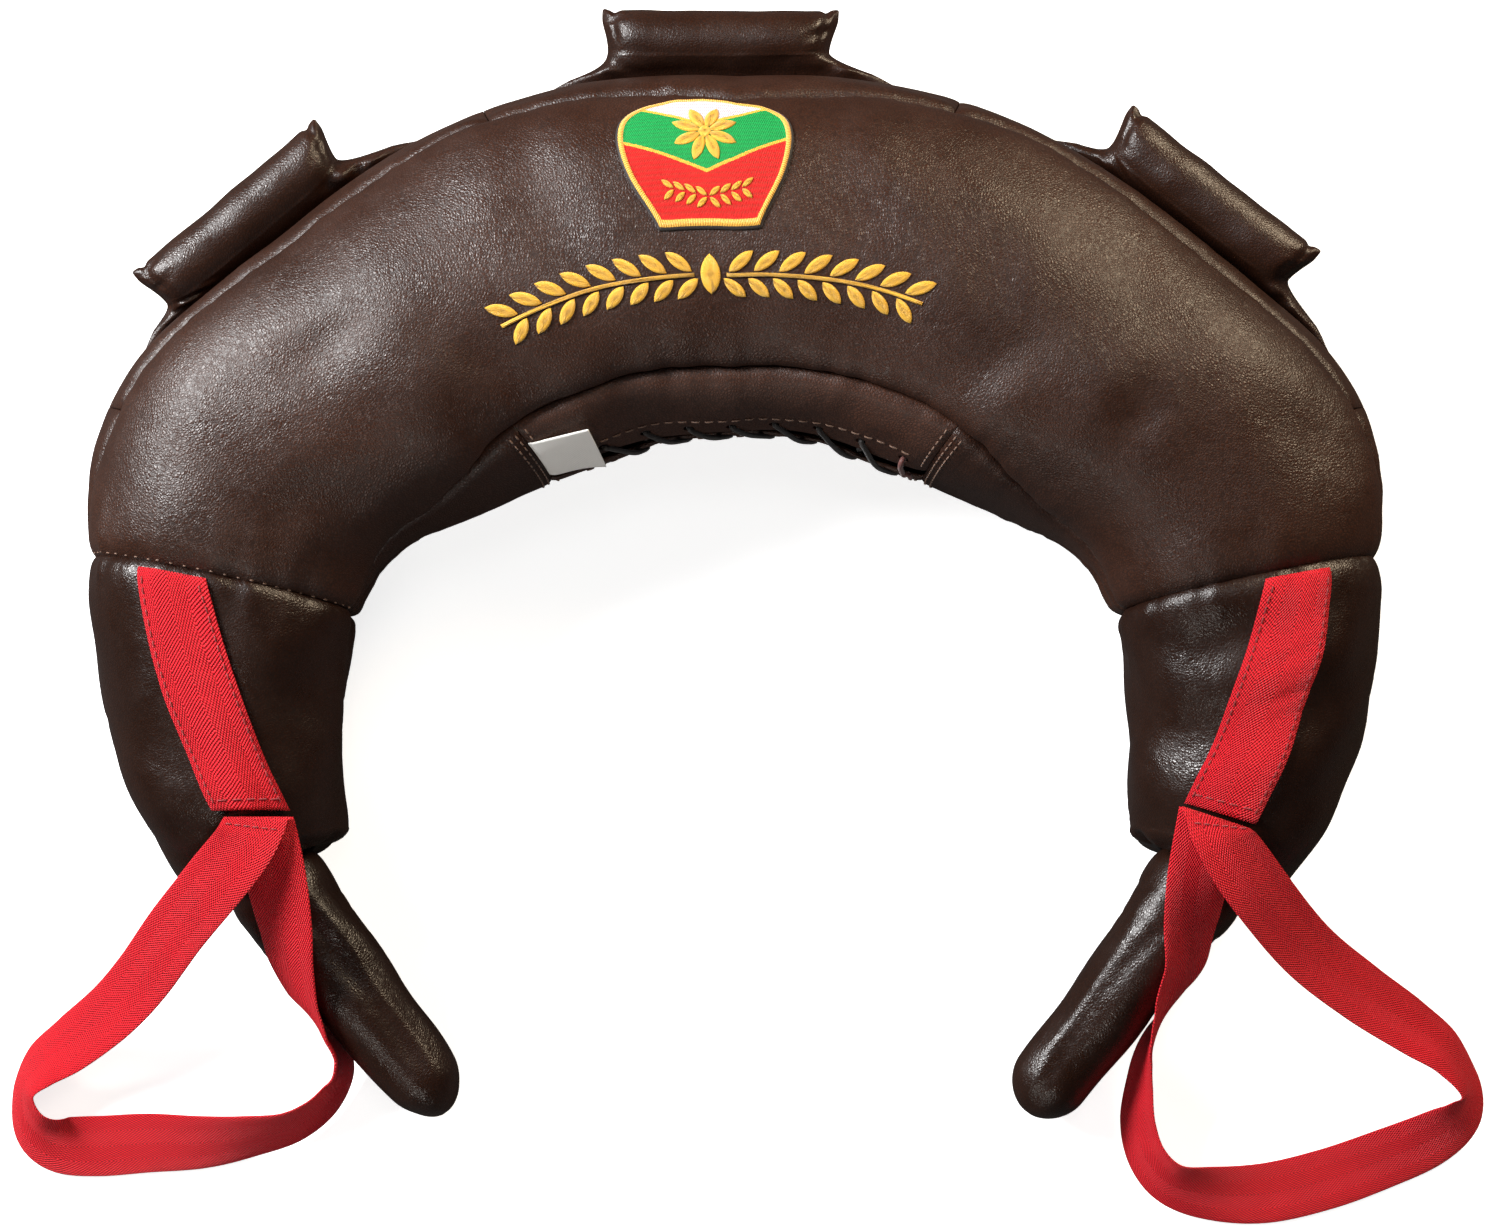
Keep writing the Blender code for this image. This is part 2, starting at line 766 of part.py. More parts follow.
def build_loop(name, side, fold_slope, route_shares):
    pivot = bpy.data.objects.new(f"{name}_loop_pivot", None)
    parts.objects.link(pivot)
    pivot.parent = bag_frame
    pivot.location = loop_root(side)
    top = pivot.location.z + (webbing_thickness + loop_ply_gap) / 2
    floor = loop_floor_gap + webbing_thickness / 2
    route = [(number, *row) for number, row in enumerate(route_shares)]
    last = len(route) - 1.0
    fold_way = Vector((-1, -math.tan(math.radians(fold_slope)), 0))

    def middle(place):
        outward, downward, height, tilt = read(route, place)
        edge = webbing_width / 2 * math.sin(math.radians(min(max(tilt, 0.0), 180.0)))
        rise = floor + edge + height * (top - floor)
        return Vector((outward * loop_size, downward * loop_size, rise)), tilt

    def place(at, across, depth):
        point, tilt = middle(at)
        heading = middle(at + route_step)[0] - middle(at - route_step)[0]
        flat = Vector((-heading.y, heading.x, 0)).normalized()
        width = flat * math.cos(math.radians(tilt)) + up * math.sin(math.radians(tilt))
        width = (width - heading * width.dot(heading) / heading.length_squared).normalized()
        from_fold = max(1 - min(at, last - at) / 2, 0.0)
        width = width.lerp(fold_way, from_fold**2)
        normal = heading.cross(width).normalized()
        point = point + width * across * webbing_width + normal * (0.5 - depth) * webbing_thickness
        return Vector((side * point.x, -point.y, point.z - pivot.location.z))

    steps = spread(0.0, last, 2 * (len(route) - 1))
    shell(f"{name}_hand_loop", steps, spread(-0.5, 0.5, 2), place, red_webbing, pivot)


# Grips


def outline_frame(angle):
    """The crescent's outer edge in plan: a point, the way along it and the way out of it."""
    along = (skin(angle + edge_step, 90) - skin(angle - edge_step, 90)).normalized()
    return skin(angle, 90), along, up.cross(along)


def edge_depth(angle, reach):
    """How far the outer edge falls back at a distance along the grip from its middle."""
    middle, along, outward = outline_frame(angle)
    low, high = angle - widest_edge_search, angle + widest_edge_search
    while high - low > finest_edge_search:
        guess = (low + high) / 2
        if (skin(guess, 90) - middle).dot(along) < reach:
            low = guess
        else:
            high = guess
    return (middle - skin(low, 90)).dot(outward)


def build_handle(name, angle, lean):
    middle, along, outward = outline_frame(angle)
    web_radius = leather + web_ply_gap / 2
    pivot = bpy.data.objects.new(f"{name}_handle_pivot", None)
    parts.objects.link(pivot)
    pivot.parent = bag_frame
    pivot.location = middle + outward * (web_radius + seam_gap)
    pivot.rotation_euler.z = math.atan2(along.y, along.x)
    roll_radius = roll_diameter / 2
    tilt = math.radians(lean)

    def leaned(reach, stand, side):
        """A point reach along the grip, stand away from the bag and side across the web, from its root."""
        out = stand * math.cos(tilt) - side * math.sin(tilt)
        return Vector((reach, out, stand * math.sin(tilt) + side * math.cos(tilt)))

    def roll(share, turn, inset):
        thick, high, rise = read(roll_shares, abs(share))
        stand = roll_stand + roll_radius * rise + (roll_radius * high - inset) * math.cos(math.radians(turn))
        side = (roll_radius * thick - inset) * math.sin(math.radians(turn))
        return leaned(share * roll_length / 2, stand, side)

    cover = shell(
        f"{name}_handle_cover",
        mirrored(roll_ring_shares),
        spread(-180.0, 180.0, 14),
        lambda share, turn, depth: roll(share, turn, leather * depth),
        brown_leather,
        pivot,
        ring=True,
    )

    half_base = web_base_length / 2
    neck = roll_length / 2

    def web_top(reach):
        """The web runs up into the roll's wall, and falls away beyond the roll's ends."""
        if abs(reach) < neck:
            _, high, rise = read(roll_shares, abs(reach) / neck)
            return roll_stand + roll_radius * (rise - high) + leather / 2
        away = (half_base - abs(reach)) / (half_base - neck)
        return web_edge_height + (web_neck_height - web_edge_height) * away**web_fall_power

    def web(share, row, depth):
        reach = share * half_base
        side = web_radius * (1 - 2 * depth)
        if row > 0:
            return leaned(reach, web_top(reach) * row, side)
        heel = math.radians(-web_heel_turn * row)
        side *= math.cos(heel)
        fall = edge_depth(angle, reach) + web_radius * math.sin(heel)
        return Vector((reach, -fall, side))

    neck_share = neck / half_base
    step = leather / (2 * half_base)
    beyond = [neck_share + (1 - neck_share) * share for share in web_flare_shares]
    web_shares = mirrored([neck_share / 2, neck_share - step, neck_share + step, *beyond])
    blade = shell(f"{name}_handle_web", web_shares, (-1.0, -0.5, 0.0, 1.0), web, brown_leather, pivot)
    parts.objects.unlink(blade)
    cutters.objects.link(blade)
    blade.hide_render = True
    blade.display_type = "WIRE"
    combine(cover, blade, "UNION")

    def core(share, turn):
        taper = ease((abs(share) - core_taper_share) / (core_end_share - core_taper_share))
        return roll(share, turn, leather + core_gap + roll_radius * core_taper_depth_share * taper)

    tube(f"{name}_handle_core", mirrored([*core_ring_shares, core_end_share]), 14, core, grey_foam, pivot)


# Patch and care label


def build_patch():
    """An oval patch that follows the crown."""

    def place(across, upward, depth):
        wide = across * math.sqrt(1 - upward * upward / 2)
        high = upward * math.sqrt(1 - across * across / 2)
        turn = patch_turn + turn_of(patch_height / 2 * high, patch_angle)
        angle = patch_angle + angle_of(patch_width / 2 * wide, patch_angle, patch_turn)
        return skin(angle, turn, -trim_gap - patch_thickness * (1 - depth))

    shell("front_patch", spread(-1.0, 1.0, 7), spread(-1.0, 1.0, 6), place, green_cloth)


def build_label():
    """A tag sewn in at the left end of the laced opening, its free end curling away over the lace."""
    first = -closure_half_angle
    last = lace_first_angle - angle_of(lace_diameter / 2 + label_free_gap, lace_first_angle, -90)

    def place(angle, share, depth):
        curl = ((angle - first) / (last - first)) ** 2
        lift = trim_gap + (label_lift - trim_gap) * curl + label_thickness * (1 - depth)
        turn = label_first_turn + (label_last_turn - label_first_turn) * share
        return skin(angle, turn, -lift)

    shell("care_label", spread(first, last, 5), spread(0.0, 1.0, 5), place, white_cloth)


def centre_on_floor():
    """Moves the frame so that the origin is the middle of the bag's box, on the floor."""
    bpy.context.view_layer.update()
    graph = bpy.context.evaluated_depsgraph_get()
    corners = []
    for piece in parts.objects:
        if piece.type == "MESH":
            seen = piece.evaluated_get(graph)
            corners += [seen.matrix_world @ Vector(corner) for corner in seen.bound_box]
    low = [min(corner[axis] for corner in corners) for axis in range(3)]
    high = [max(corner[axis] for corner in corners) for axis in range(3)]
    bag_frame.location = (-(low[0] + high[0]) / 2, -(low[1] + high[1]) / 2, -low[2])


build_panels()
build_outer_gussets()
build_inner_gussets()
build_closure()
build_filling()
for side_name, side_sign, slope, loop_shares in (
    ("left", -1, left_fold_slope, left_loop_shares),
    ("right", 1, right_fold_slope, right_loop_shares),
):
    build_arm(side_name, side_sign)
    build_horn(side_name, side_sign)
    build_strap(side_name, side_sign, slope)
    build_loop(side_name, side_sign, slope, loop_shares)
build_handle("top", top_handle_angle, top_handle_lean)
build_handle("left", -side_handle_angle, side_handle_lean)
build_handle("right", side_handle_angle, side_handle_lean)
build_patch()
build_label()
centre_on_floor()
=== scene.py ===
"""The looks of a bulgarian bag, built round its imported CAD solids.

Points on the stuffed crescent are given as in the part's source, in degrees: an angle round the
collar, counted from the crown and positive to the right, and a turn round the tube, counted from
the top and positive towards the outer edge.
"""

import math

import bmesh
import bpy
import numpy as np
from mathutils import Matrix, Vector


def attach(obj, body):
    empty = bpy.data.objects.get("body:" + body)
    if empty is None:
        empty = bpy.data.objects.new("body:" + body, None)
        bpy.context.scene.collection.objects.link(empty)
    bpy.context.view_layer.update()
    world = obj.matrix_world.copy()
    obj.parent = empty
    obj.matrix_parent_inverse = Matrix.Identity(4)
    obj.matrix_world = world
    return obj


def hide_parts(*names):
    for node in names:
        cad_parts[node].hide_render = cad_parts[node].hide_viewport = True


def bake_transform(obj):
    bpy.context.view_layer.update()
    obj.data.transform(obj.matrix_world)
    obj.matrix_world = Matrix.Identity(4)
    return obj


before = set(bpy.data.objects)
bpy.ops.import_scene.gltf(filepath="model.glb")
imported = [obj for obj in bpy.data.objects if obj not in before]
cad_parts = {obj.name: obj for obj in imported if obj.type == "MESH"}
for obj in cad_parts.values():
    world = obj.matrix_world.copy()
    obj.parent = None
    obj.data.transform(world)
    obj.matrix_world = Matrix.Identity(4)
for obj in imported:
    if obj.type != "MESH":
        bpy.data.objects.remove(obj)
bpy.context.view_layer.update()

# Sizes of the CAD part, in metres and degrees

frame_shift = np.array((-0.00506, -0.03652, 0.0))
collar_radius = 0.115
crown_width = 0.163
crown_height = 0.146
floor_sag = 0.006
leather = 0.002
seam_gap = 0.0005
filling_gap = 0.0018
trim_gap = 0.0004
patch_lift = trim_gap + 0.0011
wool_thickness = 0.014
bag_end_gap = 0.0015
fullness = 2.25
closure_gap = 0.012
lace_hole_inset = 0.009
lace_hole_diameter = 0.0048
lace_diameter = 0.0024
lace_clearance = 0.0004
guard_depth = leather + lace_diameter + 3 * lace_clearance
roll_length = 0.104
roll_diameter = 0.0276
roll_stand = 0.0155
web_ply_gap = 0.0006
horn_length = 0.125
horn_root_diameter = 0.047
horn_root_height = 0.036
horn_tip_drop = 0.016
horn_ball_gap = 0.0004
horn_tip_flat = 0.0012
horn_tip_share = 0.15
horn_mouth_share = 0.62
webbing_width = 0.029
webbing_thickness = 0.0018
loop_size = 0.150
loop_ply_gap = 0.0008
loop_floor_gap = 0.0006
strap_end_gap = 0.0038
loop_root_lift = 0.0022
label_lift = 0.0046
label_free_gap = 0.0016
label_sheet = 0.0004
arm_seam_angle = 78.5
arm_lobe_angle = 108.5
horn_root_angle = 113.4
horn_lean = 36.5
horn_rim_tilt = 20.0
top_handle_angle = -1.4
side_handle_angle = 45.5
top_gusset_half_angle = 22.3
side_gusset_end_angle = 65.8
gusset_cuts = (
    -side_gusset_end_angle,
    top_handle_angle - top_gusset_half_angle,
    top_handle_angle + top_gusset_half_angle,
    side_gusset_end_angle,
)
closure_half_angle = 41.0
lace_first_angle = -29.0
lace_last_angle = 36.1
lace_holes = 8
flap_reach_turn = 4.5
strap_top_angle = 79.0
loop_root_angle = 105.4
loop_root_turn = -9.0
strap_top_turn = 13.0
patch_angle = -3.8
patch_turn = 22.5
# The patch sits this much further to the right than its solid
patch_shift = 0.0021
label_first_turn = -58.0
label_last_turn = -87.0

# Angle, inner radius in collar radii, width in crown widths, height in crown heights
outline_shares = (
    (0, 1.000, 1.000, 1.000),
    (10, 1.008, 1.018, 1.000),
    (20, 1.030, 1.025, 1.000),
    (30, 1.052, 1.024, 0.995),
    (40, 1.091, 1.005, 0.985),
    (46, 1.130, 0.990, 0.975),
    (52, 1.190, 0.984, 0.965),
    (60, 1.300, 0.972, 0.940),
    (66, 1.409, 0.914, 0.910),
    (72, 1.475, 0.850, 0.875),
    (80, 1.500, 0.776, 0.815),
    (90, 1.535, 0.684, 0.735),
    (100, 1.562, 0.608, 0.665),
    (106, 1.605, 0.530, 0.600),
    (110, 1.655, 0.450, 0.525),
    (114, 1.720, 0.345, 0.440),
)
outer_seam_turns = ((0, 50), (16, 58), (30, 63), (46, 62), (66, 63), (79, 78))
inner_seam_turns = ((0, 49), (22, 48), (44, 50), (54, 62), (62, 75), (72, 83), (79, 86))

horn_shares = ((0.0, 1.0), (0.08, 0.975), (0.2, 0.935), (0.5, 0.875), (0.8, 0.79), (1.0, 0.73))

# Routes of the hand loops: outward and downward in loop sizes, height share and the webbing's
# tilt in degrees
left_loop_shares = (
    (0.000, 0.000, 1.000, 0),
    (0.043, 0.087, 0.985, 0),
    (0.146, 0.203, 0.860, 4),
    (0.267, 0.326, 0.640, 8),
    (0.393, 0.469, 0.400, 12),
    (0.500, 0.573, 0.260, 18),
    (0.633, 0.671, 0.130, 26),
    (0.732, 0.739, 0.050, 42),
    (0.785, 0.818, 0.000, 60),
    (0.767, 0.916, 0.000, 48),
    (0.692, 0.979, 0.000, 26),
    (0.572, 0.989, 0.000, 16),
    (0.411, 0.979, 0.000, 20),
    (0.248, 0.975, 0.000, 32),
    (0.097, 0.956, 0.000, 48),
    (-0.036, 0.928, 0.000, 60),
    (-0.131, 0.867, 0.000, 68),
    (-0.187, 0.781, 0.020, 76),
    (-0.186, 0.701, 0.080, 83),
    (-0.137, 0.621, 0.170, 92),
    (-0.089, 0.535, 0.300, 112),
    (-0.067, 0.433, 0.470, 132),
    (-0.060, 0.320, 0.640, 148),
    (-0.046, 0.197, 0.790, 162),
    (-0.026, 0.087, 0.905, 173),
    (-0.008, 0.000, 0.972, 180),
)
right_loop_shares = (
    (0.000, 0.000, 1.000, 0),
    (0.038, 0.081, 0.985, 0),
    (0.140, 0.214, 0.840, 4),
    (0.307, 0.385, 0.560, 10),
    (0.487, 0.515, 0.360, 16),
    (0.653, 0.618, 0.200, 28),
    (0.770, 0.698, 0.090, 44),
    (0.847, 0.806, 0.000, 60),
    (0.827, 0.892, 0.000, 44),
    (0.732, 0.966, 0.000, 26),
    (0.586, 1.028, 0.000, 18),
    (0.413, 1.089, 0.000, 14),
    (0.227, 1.131, 0.000, 16),
    (0.058, 1.130, 0.000, 30),
    (-0.073, 1.098, 0.000, 48),
    (-0.147, 1.018, 0.000, 58),
    (-0.174, 0.909, 0.000, 64),
    (-0.166, 0.781, 0.030, 74),
    (-0.149, 0.688, 0.100, 84),
    (-0.126, 0.621, 0.180, 94),
    (-0.091, 0.535, 0.300, 110),
    (-0.056, 0.430, 0.470, 128),
    (-0.050, 0.311, 0.640, 148),
    (-0.040, 0.180, 0.810, 164),
    (-0.023, 0.081, 0.910, 174),
    (-0.006, 0.000, 0.972, 180),
)

up = np.array((0.0, 0.0, 1.0))

# Distances from a sewn edge at which its mesh has rows
edge_steps = (0.0, 0.0007, 0.0015, 0.0025, 0.0038, 0.0055, 0.0078)


# Tables, spacing and waves


def read(table, place):
    """The columns of a table at an array of places, on a smooth curve through its rows."""
    rows = np.array(table, float)
    keys = rows[:, 0]
    last = len(keys) - 1
    place = np.clip(np.asarray(place, float), keys[0], keys[last])
    row = np.clip(np.searchsorted(keys, place) - 1, 0, last - 1)
    start, end = rows[row], rows[row + 1]
    before, after = rows[np.maximum(row - 1, 0)], rows[np.minimum(row + 2, last)]
    span = (end - start)[..., :1]
    t = (place[..., None] - start[..., :1]) / span
    slope_in = (end - before) / (end - before)[..., :1] * span
    slope_out = (after - start) / (after - start)[..., :1] * span
    rise = end - start
    values = start + rise * t + t * (1 - t) * ((slope_in - rise) * (1 - t) + (rise - slope_out) * t)
    return np.moveaxis(values[..., 1:], -1, 0)


def ease(share):
    share = np.clip(share, 0.0, 1.0)
    return share * share * (3 - 2 * share)


def unit(vector):
    return vector / np.linalg.norm(vector, axis=-1, keepdims=True)


def wrap(turn):
    return (turn + 180) % 360 - 180


def paired(one, two):
    """Two values or arrays as arrays of one shape."""
    return np.broadcast_arrays(np.asarray(one, float), np.asarray(two, float))


def hump(off, width, power=2):
    """One at the middle, falling off smoothly to either side of it."""
    return np.exp(-((off / width) ** power))


def compass(bearing):
    """The cosine and the sine of a bearing in degrees."""
    return math.cos(math.radians(bearing)), math.sin(math.radians(bearing))


def round_turns(count):
    """Turns once round a tube, as a row."""
    return np.linspace(-180, 180, count, endpoint=False)[None, :]


def travel(points):
    """The distance along a line of points, up to each of them."""
    return np.concatenate([[0.0], np.cumsum(np.linalg.norm(np.diff(points, axis=0), axis=1))])


def dense_ends(length, middle_step):
    """Shares from 0 to 1 of a length, closely spaced near both ends."""
    ends = np.array([step for step in edge_steps if step < length / 3])
    count = max(int(round((length - 2 * ends[-1]) / middle_step)), 1)
    inner = np.linspace(ends[-1], length - ends[-1], count + 1)[1:-1]
    return np.concatenate([ends, inner, length - ends[::-1]]) / length


def columns(first, last, step, *cuts):
    """Angles from first to last, closer together at both ends and round the cuts."""
    near = (0.12, 0.3, 0.6, 1.0, 1.5)
    clear = near[-1] * 1.1
    values = list(np.linspace(first, last, int(round((last - first) / step)) + 1))
    for cut in (first, last, *cuts):
        values = [value for value in values if abs(value - cut) > clear or value in (first, last)]
        values += [cut, *(cut + side * gap for gap in near for side in (-1, 1))]
    return np.array(sorted({round(value, 5) for value in values if first <= value <= last}))


def ripple(along, seed, shortest, longest, waves=7):
    """A smooth uneven wave along a length, from about -1 to 1."""
    draw = np.random.default_rng(seed)
    total = 0.0
    lengths = draw.uniform(shortest, longest, waves)
    for length, phase in zip(lengths, draw.uniform(0, 2 * math.pi, waves)):
        total = total + np.sin(2 * math.pi * along / length + phase)
    return total / math.sqrt(waves)


def swell(points, seed, shortest, longest, waves=14):
    """Smooth unevenness through space, from about -1 to 1."""
    draw = np.random.default_rng(seed)
    total = 0.0
    for _ in range(waves):
        way = draw.normal(size=3)
        way /= np.linalg.norm(way) * draw.uniform(shortest, longest)
        total = total + np.sin(2 * math.pi * (points @ way) + draw.uniform(0, 2 * math.pi))
    return total / math.sqrt(waves / 2)


# The crescent's skin


def polar(radius, angle, height=0.0):
    radius, angle, height = np.broadcast_arrays(radius, np.radians(angle), height)
    return np.stack([radius * np.sin(angle), radius * np.cos(angle), height], -1).astype(float)


def section(angle):
    """Radius of the tube's middle, half its width and half its height at an angle."""
    inner_share, width_share, height_share = read(outline_shares, np.abs(angle))
    half_width = crown_width * width_share / 2
    return collar_radius * inner_share + half_width, half_width, crown_height * height_share / 2


def skin(angle, turn, inset=0.0):
    """Points on the crescent, or the inset inside it, flat where it lies on the floor."""
    radius, half_width, half_height = section(angle)
    side, rise = np.sin(np.radians(turn)), np.cos(np.radians(turn))
    side = np.copysign(np.abs(side) ** (2 / fullness), side)
    rise = np.copysign(np.abs(rise) ** (2 / fullness), rise)
    reach = half_height - inset + np.where(rise > 0, 0.0, floor_sag)
    height = np.maximum(half_height + reach * rise, np.maximum(inset, 0.0))
    return polar(radius + (half_width - inset) * side, angle, height)


def metres_per_degree(angle):
    """The length along the section that a degree of turn takes up."""
    _, half_width, half_height = section(angle)
    return math.radians(1) * (half_width + half_height) / 2


def turn_of(length, angle):
    return length / metres_per_degree(angle)


def angle_of(length, angle, turn):
    """The degrees round the collar that a length takes up at a place."""
    point = skin(angle, turn)
    return np.degrees(length / np.hypot(point[..., 0], point[..., 1]))


def outer_seam(angle):
    return read(outer_seam_turns, np.abs(angle))[0]


def inner_seam(angle):
    return -read(inner_seam_turns, np.abs(angle))[0]


def back_outer_seam(angle):
    return 180 - outer_seam(angle)


def back_inner_seam(angle):
    return -180 - inner_seam(angle)


# Soft relief of the stuffed leather: how far it stands out of the plain skin, in metres

# Angle and turn of the middle of a soft dent, its two half sizes in metres, its bearing in degrees
# and its depth
dents = (
    (-52.0, 8.0, 0.030, 0.010, 35.0, 0.0020),
    (-38.0, -22.0, 0.034, 0.011, -30.0, 0.0022),
    (-66.0, -30.0, 0.036, 0.012, 20.0, 0.0022),
    (57.0, -10.0, 0.020, 0.011, 60.0, 0.0026),
    (66.0, 24.0, 0.026, 0.010, -35.0, 0.0012),
    (38.0, -26.0, 0.034, 0.012, 25.0, 0.0020),
    (14.0, 6.0, 0.040, 0.016, -10.0, 0.0012),
)

# Depth, reach and pucker in metres of the outer, back outer, inner and back inner seams' valleys
long_seam_shapes = (
    (0.0058, 0.0044, 0.0003),
    (0.0045, 0.0050, 0.0006),
    (0.0036, 0.0034, 0.0003),
    (0.0030, 0.0036, 0.0004),
)
# The same for the arms' cross seams, the gussets' and the closure's, with their seeds
arm_seam_shape = (0.0042, 0.0044, 0.0007, 7)
gusset_seam_shape = (0.0014, 0.0036, 0.0003, 9)
closure_seam_shape = (0.0012, 0.0022, 0.0002, 11)
# Half the angle and the turn over which the leather lies plain under a web, and its fading angle
web_foot_half_angle, web_foot_turn, web_foot_fade = 25.5, 14, 5.0


def seam_dip(distance, along, depth, reach, pucker, seed):
    """A seam's valley with the leather drawn into uneven puckers across it."""
    distance = np.abs(distance)
    gather = pucker * np.exp(-distance / 0.013) * (ripple(along, seed, 0.009, 0.021) - 0.6)
    uneven = 1 + 0.15 * ripple(along, seed + 50, 0.03, 0.08)
    crack = depth * 0.4 * np.exp(-distance / 0.0013)
    return -depth * np.exp(-distance / reach) * uneven + gather - crack


def relief(angle, turn):
    """The soft form of the stuffed crescent: valleys at its seams, dents and unevenness."""
    angle, turn = paired(angle, turn)
    turn = wrap(turn)
    per = metres_per_degree(angle)
    radius, half_width, _ = section(angle)
    seams = [seam(angle) for seam in (outer_seam, back_outer_seam, inner_seam, back_inner_seam)]
    outer_reach, inner_reach = radius + half_width, radius - half_width
    reaches = (outer_reach, outer_reach, inner_reach, inner_reach)
    lift = np.zeros(angle.shape)
    for number, (seam, reach, shape) in enumerate(zip(seams, reaches, long_seam_shapes)):
        lift += seam_dip(wrap(turn - seam) * per, np.radians(angle) * reach, *shape, number + 1)
    section_way = turn * per
    cross = (np.abs(angle) - arm_seam_angle) * math.radians(1) * radius
    lift += seam_dip(cross, section_way + np.sign(angle) * 0.7, *arm_seam_shape)
    outer = ease((turn - seams[0]) * per / 0.004) * ease((seams[1] - turn) * per / 0.004)
    for cut in gusset_cuts:
        across = (angle - cut) * math.radians(1) * outer_reach
        lift += outer * seam_dip(across, section_way, *gusset_seam_shape)
    inner = ease((seams[2] - turn) * per / 0.003) * ease((turn - seams[3]) * per / 0.003)
    across = (np.abs(angle) - closure_half_angle) * math.radians(1) * inner_reach
    lift += inner * seam_dip(across, section_way, *closure_seam_shape)
    spot = skin(angle, turn)
    for dent_angle, dent_turn, long, short, bearing, depth in dents:
        off = spot - skin(dent_angle, dent_turn)
        c, s = compass(bearing)
        one, two = off[..., 0] * c + off[..., 1] * s, -off[..., 0] * s + off[..., 1] * c
        away = (one / long) ** 2 + (two / short) ** 2 + (off[..., 2] / 0.06) ** 2
        lift -= depth * np.exp(-away)
    uneven = swell(spot, 21, 0.055, 0.13) * 0.0011 - 0.0012
    fold = swell(spot, 22, 0.022, 0.05) * 0.00025
    seated = np.ones(angle.shape)
    for handle_angle in (top_handle_angle, -side_handle_angle, side_handle_angle):
        within = ease((web_foot_half_angle - np.abs(angle - handle_angle)) / web_foot_fade)
        near = within * hump(wrap(turn - 90), web_foot_turn, 4)
        lift = lift * (1 - near)
        seated = seated * (1 - near)
    beside_seam = 1 - np.exp(-np.abs(wrap(turn - seams[0]) * per) / 0.012)
    return lift + (uneven + fold) * beside_seam * seated


def surface(angle, turn, lift=0.0):
    """Points on the soft leather, or the lift above it."""
    return skin(angle, turn, -(relief(angle, turn) + lift)) + frame_shift


# Meshes


def add_object(name, data):
    piece = bpy.data.objects.new(name, data)
    bpy.context.scene.collection.objects.link(piece)
    return piece


def new_object(name, points, faces, uv=None):
    mesh = bpy.data.meshes.new(name)
    mesh.from_pydata(points.reshape(-1, 3).tolist(), [], [tuple(face) for face in faces])
    mesh.update()
    if uv is not None:
        layer = mesh.uv_layers.new(name="weave")
        corner = np.zeros(len(mesh.loops), np.int32)
        mesh.loops.foreach_get("vertex_index", corner)
        layer.data.foreach_set("uv", uv.reshape(-1, 2)[corner].astype(np.float32).ravel())
    mesh.shade_smooth()
    return add_object(name, mesh)


def from_shape(name, shape):
    """A new object from a bmesh, which is freed."""
    mesh = bpy.data.meshes.new(name)
    shape.to_mesh(mesh)
    shape.free()
    return add_object(name, mesh)


def quads(one, two, three, four):
    return np.stack([one, two, three, four], -1).reshape(-1, 4)


def grid_faces(index, ring):
    left = index if ring else index[:, :-1]
    right = np.roll(index, -1, axis=1) if ring else index[:, 1:]
    return quads(left[:-1], right[:-1], right[1:], left[1:])


def volume(points, faces):
    """Signed volume of a closed mesh of quads."""
    p = points.reshape(-1, 3)
    total = 0.0
    for one, two, three in ((0, 1, 2), (0, 2, 3)):
        a, b, c = p[faces[:, one]], p[faces[:, two]], p[faces[:, three]]
        total += np.einsum("ij,ij->", a, np.cross(b, c))
    return total


def slab(name, outer, inner, ring=False, uv=None):
    """A closed sheet between two grids of points; a ring closes on itself across its columns."""
    rows, columns = outer.shape[:2]
    top = np.arange(rows * columns).reshape(rows, columns)
    low = top + rows * columns
    faces = [grid_faces(top, ring), grid_faces(low, ring)[:, ::-1]]
    edges = [(top[0], low[0], ring), (top[-1][::-1], low[-1][::-1], ring)]
    if not ring:
        edges += [(top[::-1, 0], low[::-1, 0], False), (top[:, -1], low[:, -1], False)]
    for above, below, closed in edges:
        if closed:
            above, below = np.append(above, above[:1]), np.append(below, below[:1])
        faces.append(quads(above[1:], above[:-1], below[:-1], below[1:]))
    points = np.concatenate([outer.reshape(-1, 3), inner.reshape(-1, 3)])
    faces = np.concatenate(faces)
    if volume(points, faces) < 0:
        faces = faces[:, ::-1]
    both = None if uv is None else np.concatenate([uv.reshape(-1, 2)] * 2)
    return new_object(name, points, faces, both)


def closed_rings(name, rings, uv=None):
    """A closed solid of rings with a point at the middle of each end."""
    count, sides = rings.shape[:2]
    index = np.arange(count * sides).reshape(count, sides)
    points = np.concatenate([rings.reshape(-1, 3), [rings[0].mean(0)], [rings[-1].mean(0)]])
    first, last = count * sides, count * sides + 1
    start, end = index[0], index[-1]
    faces = grid_faces(index, True).tolist()
    faces += [[first, b, a] for a, b in zip(start, np.roll(start, -1))]
    faces += [[last, a, b] for a, b in zip(end, np.roll(end, -1))]
    body = grid_faces(index, True)
    if volume(points, body) < 0:
        faces = [face[::-1] for face in faces]
    if uv is not None:
        uv = np.concatenate([uv.reshape(-1, 2), uv[0, :1], uv[-1, :1]])
    return new_object(name, points, faces, uv)


def tube_rings(path, radius, sides):
    """Rings of a round tube along a path, without twist."""
    path = np.asarray(path, float)
    way = unit(np.gradient(path, axis=0))
    normal = unit(np.cross(way[0], up + 0.013))
    spin = np.linspace(0, 2 * math.pi, sides, endpoint=False)[:, None]
    rings = []
    for point, heading, thick in zip(path, way, np.broadcast_to(radius, len(path))):
        normal = unit(normal - heading * (normal @ heading))
        across = np.cross(heading, normal)
        rings.append(point + thick * (np.cos(spin) * normal + np.sin(spin) * across))
    return np.array(rings)


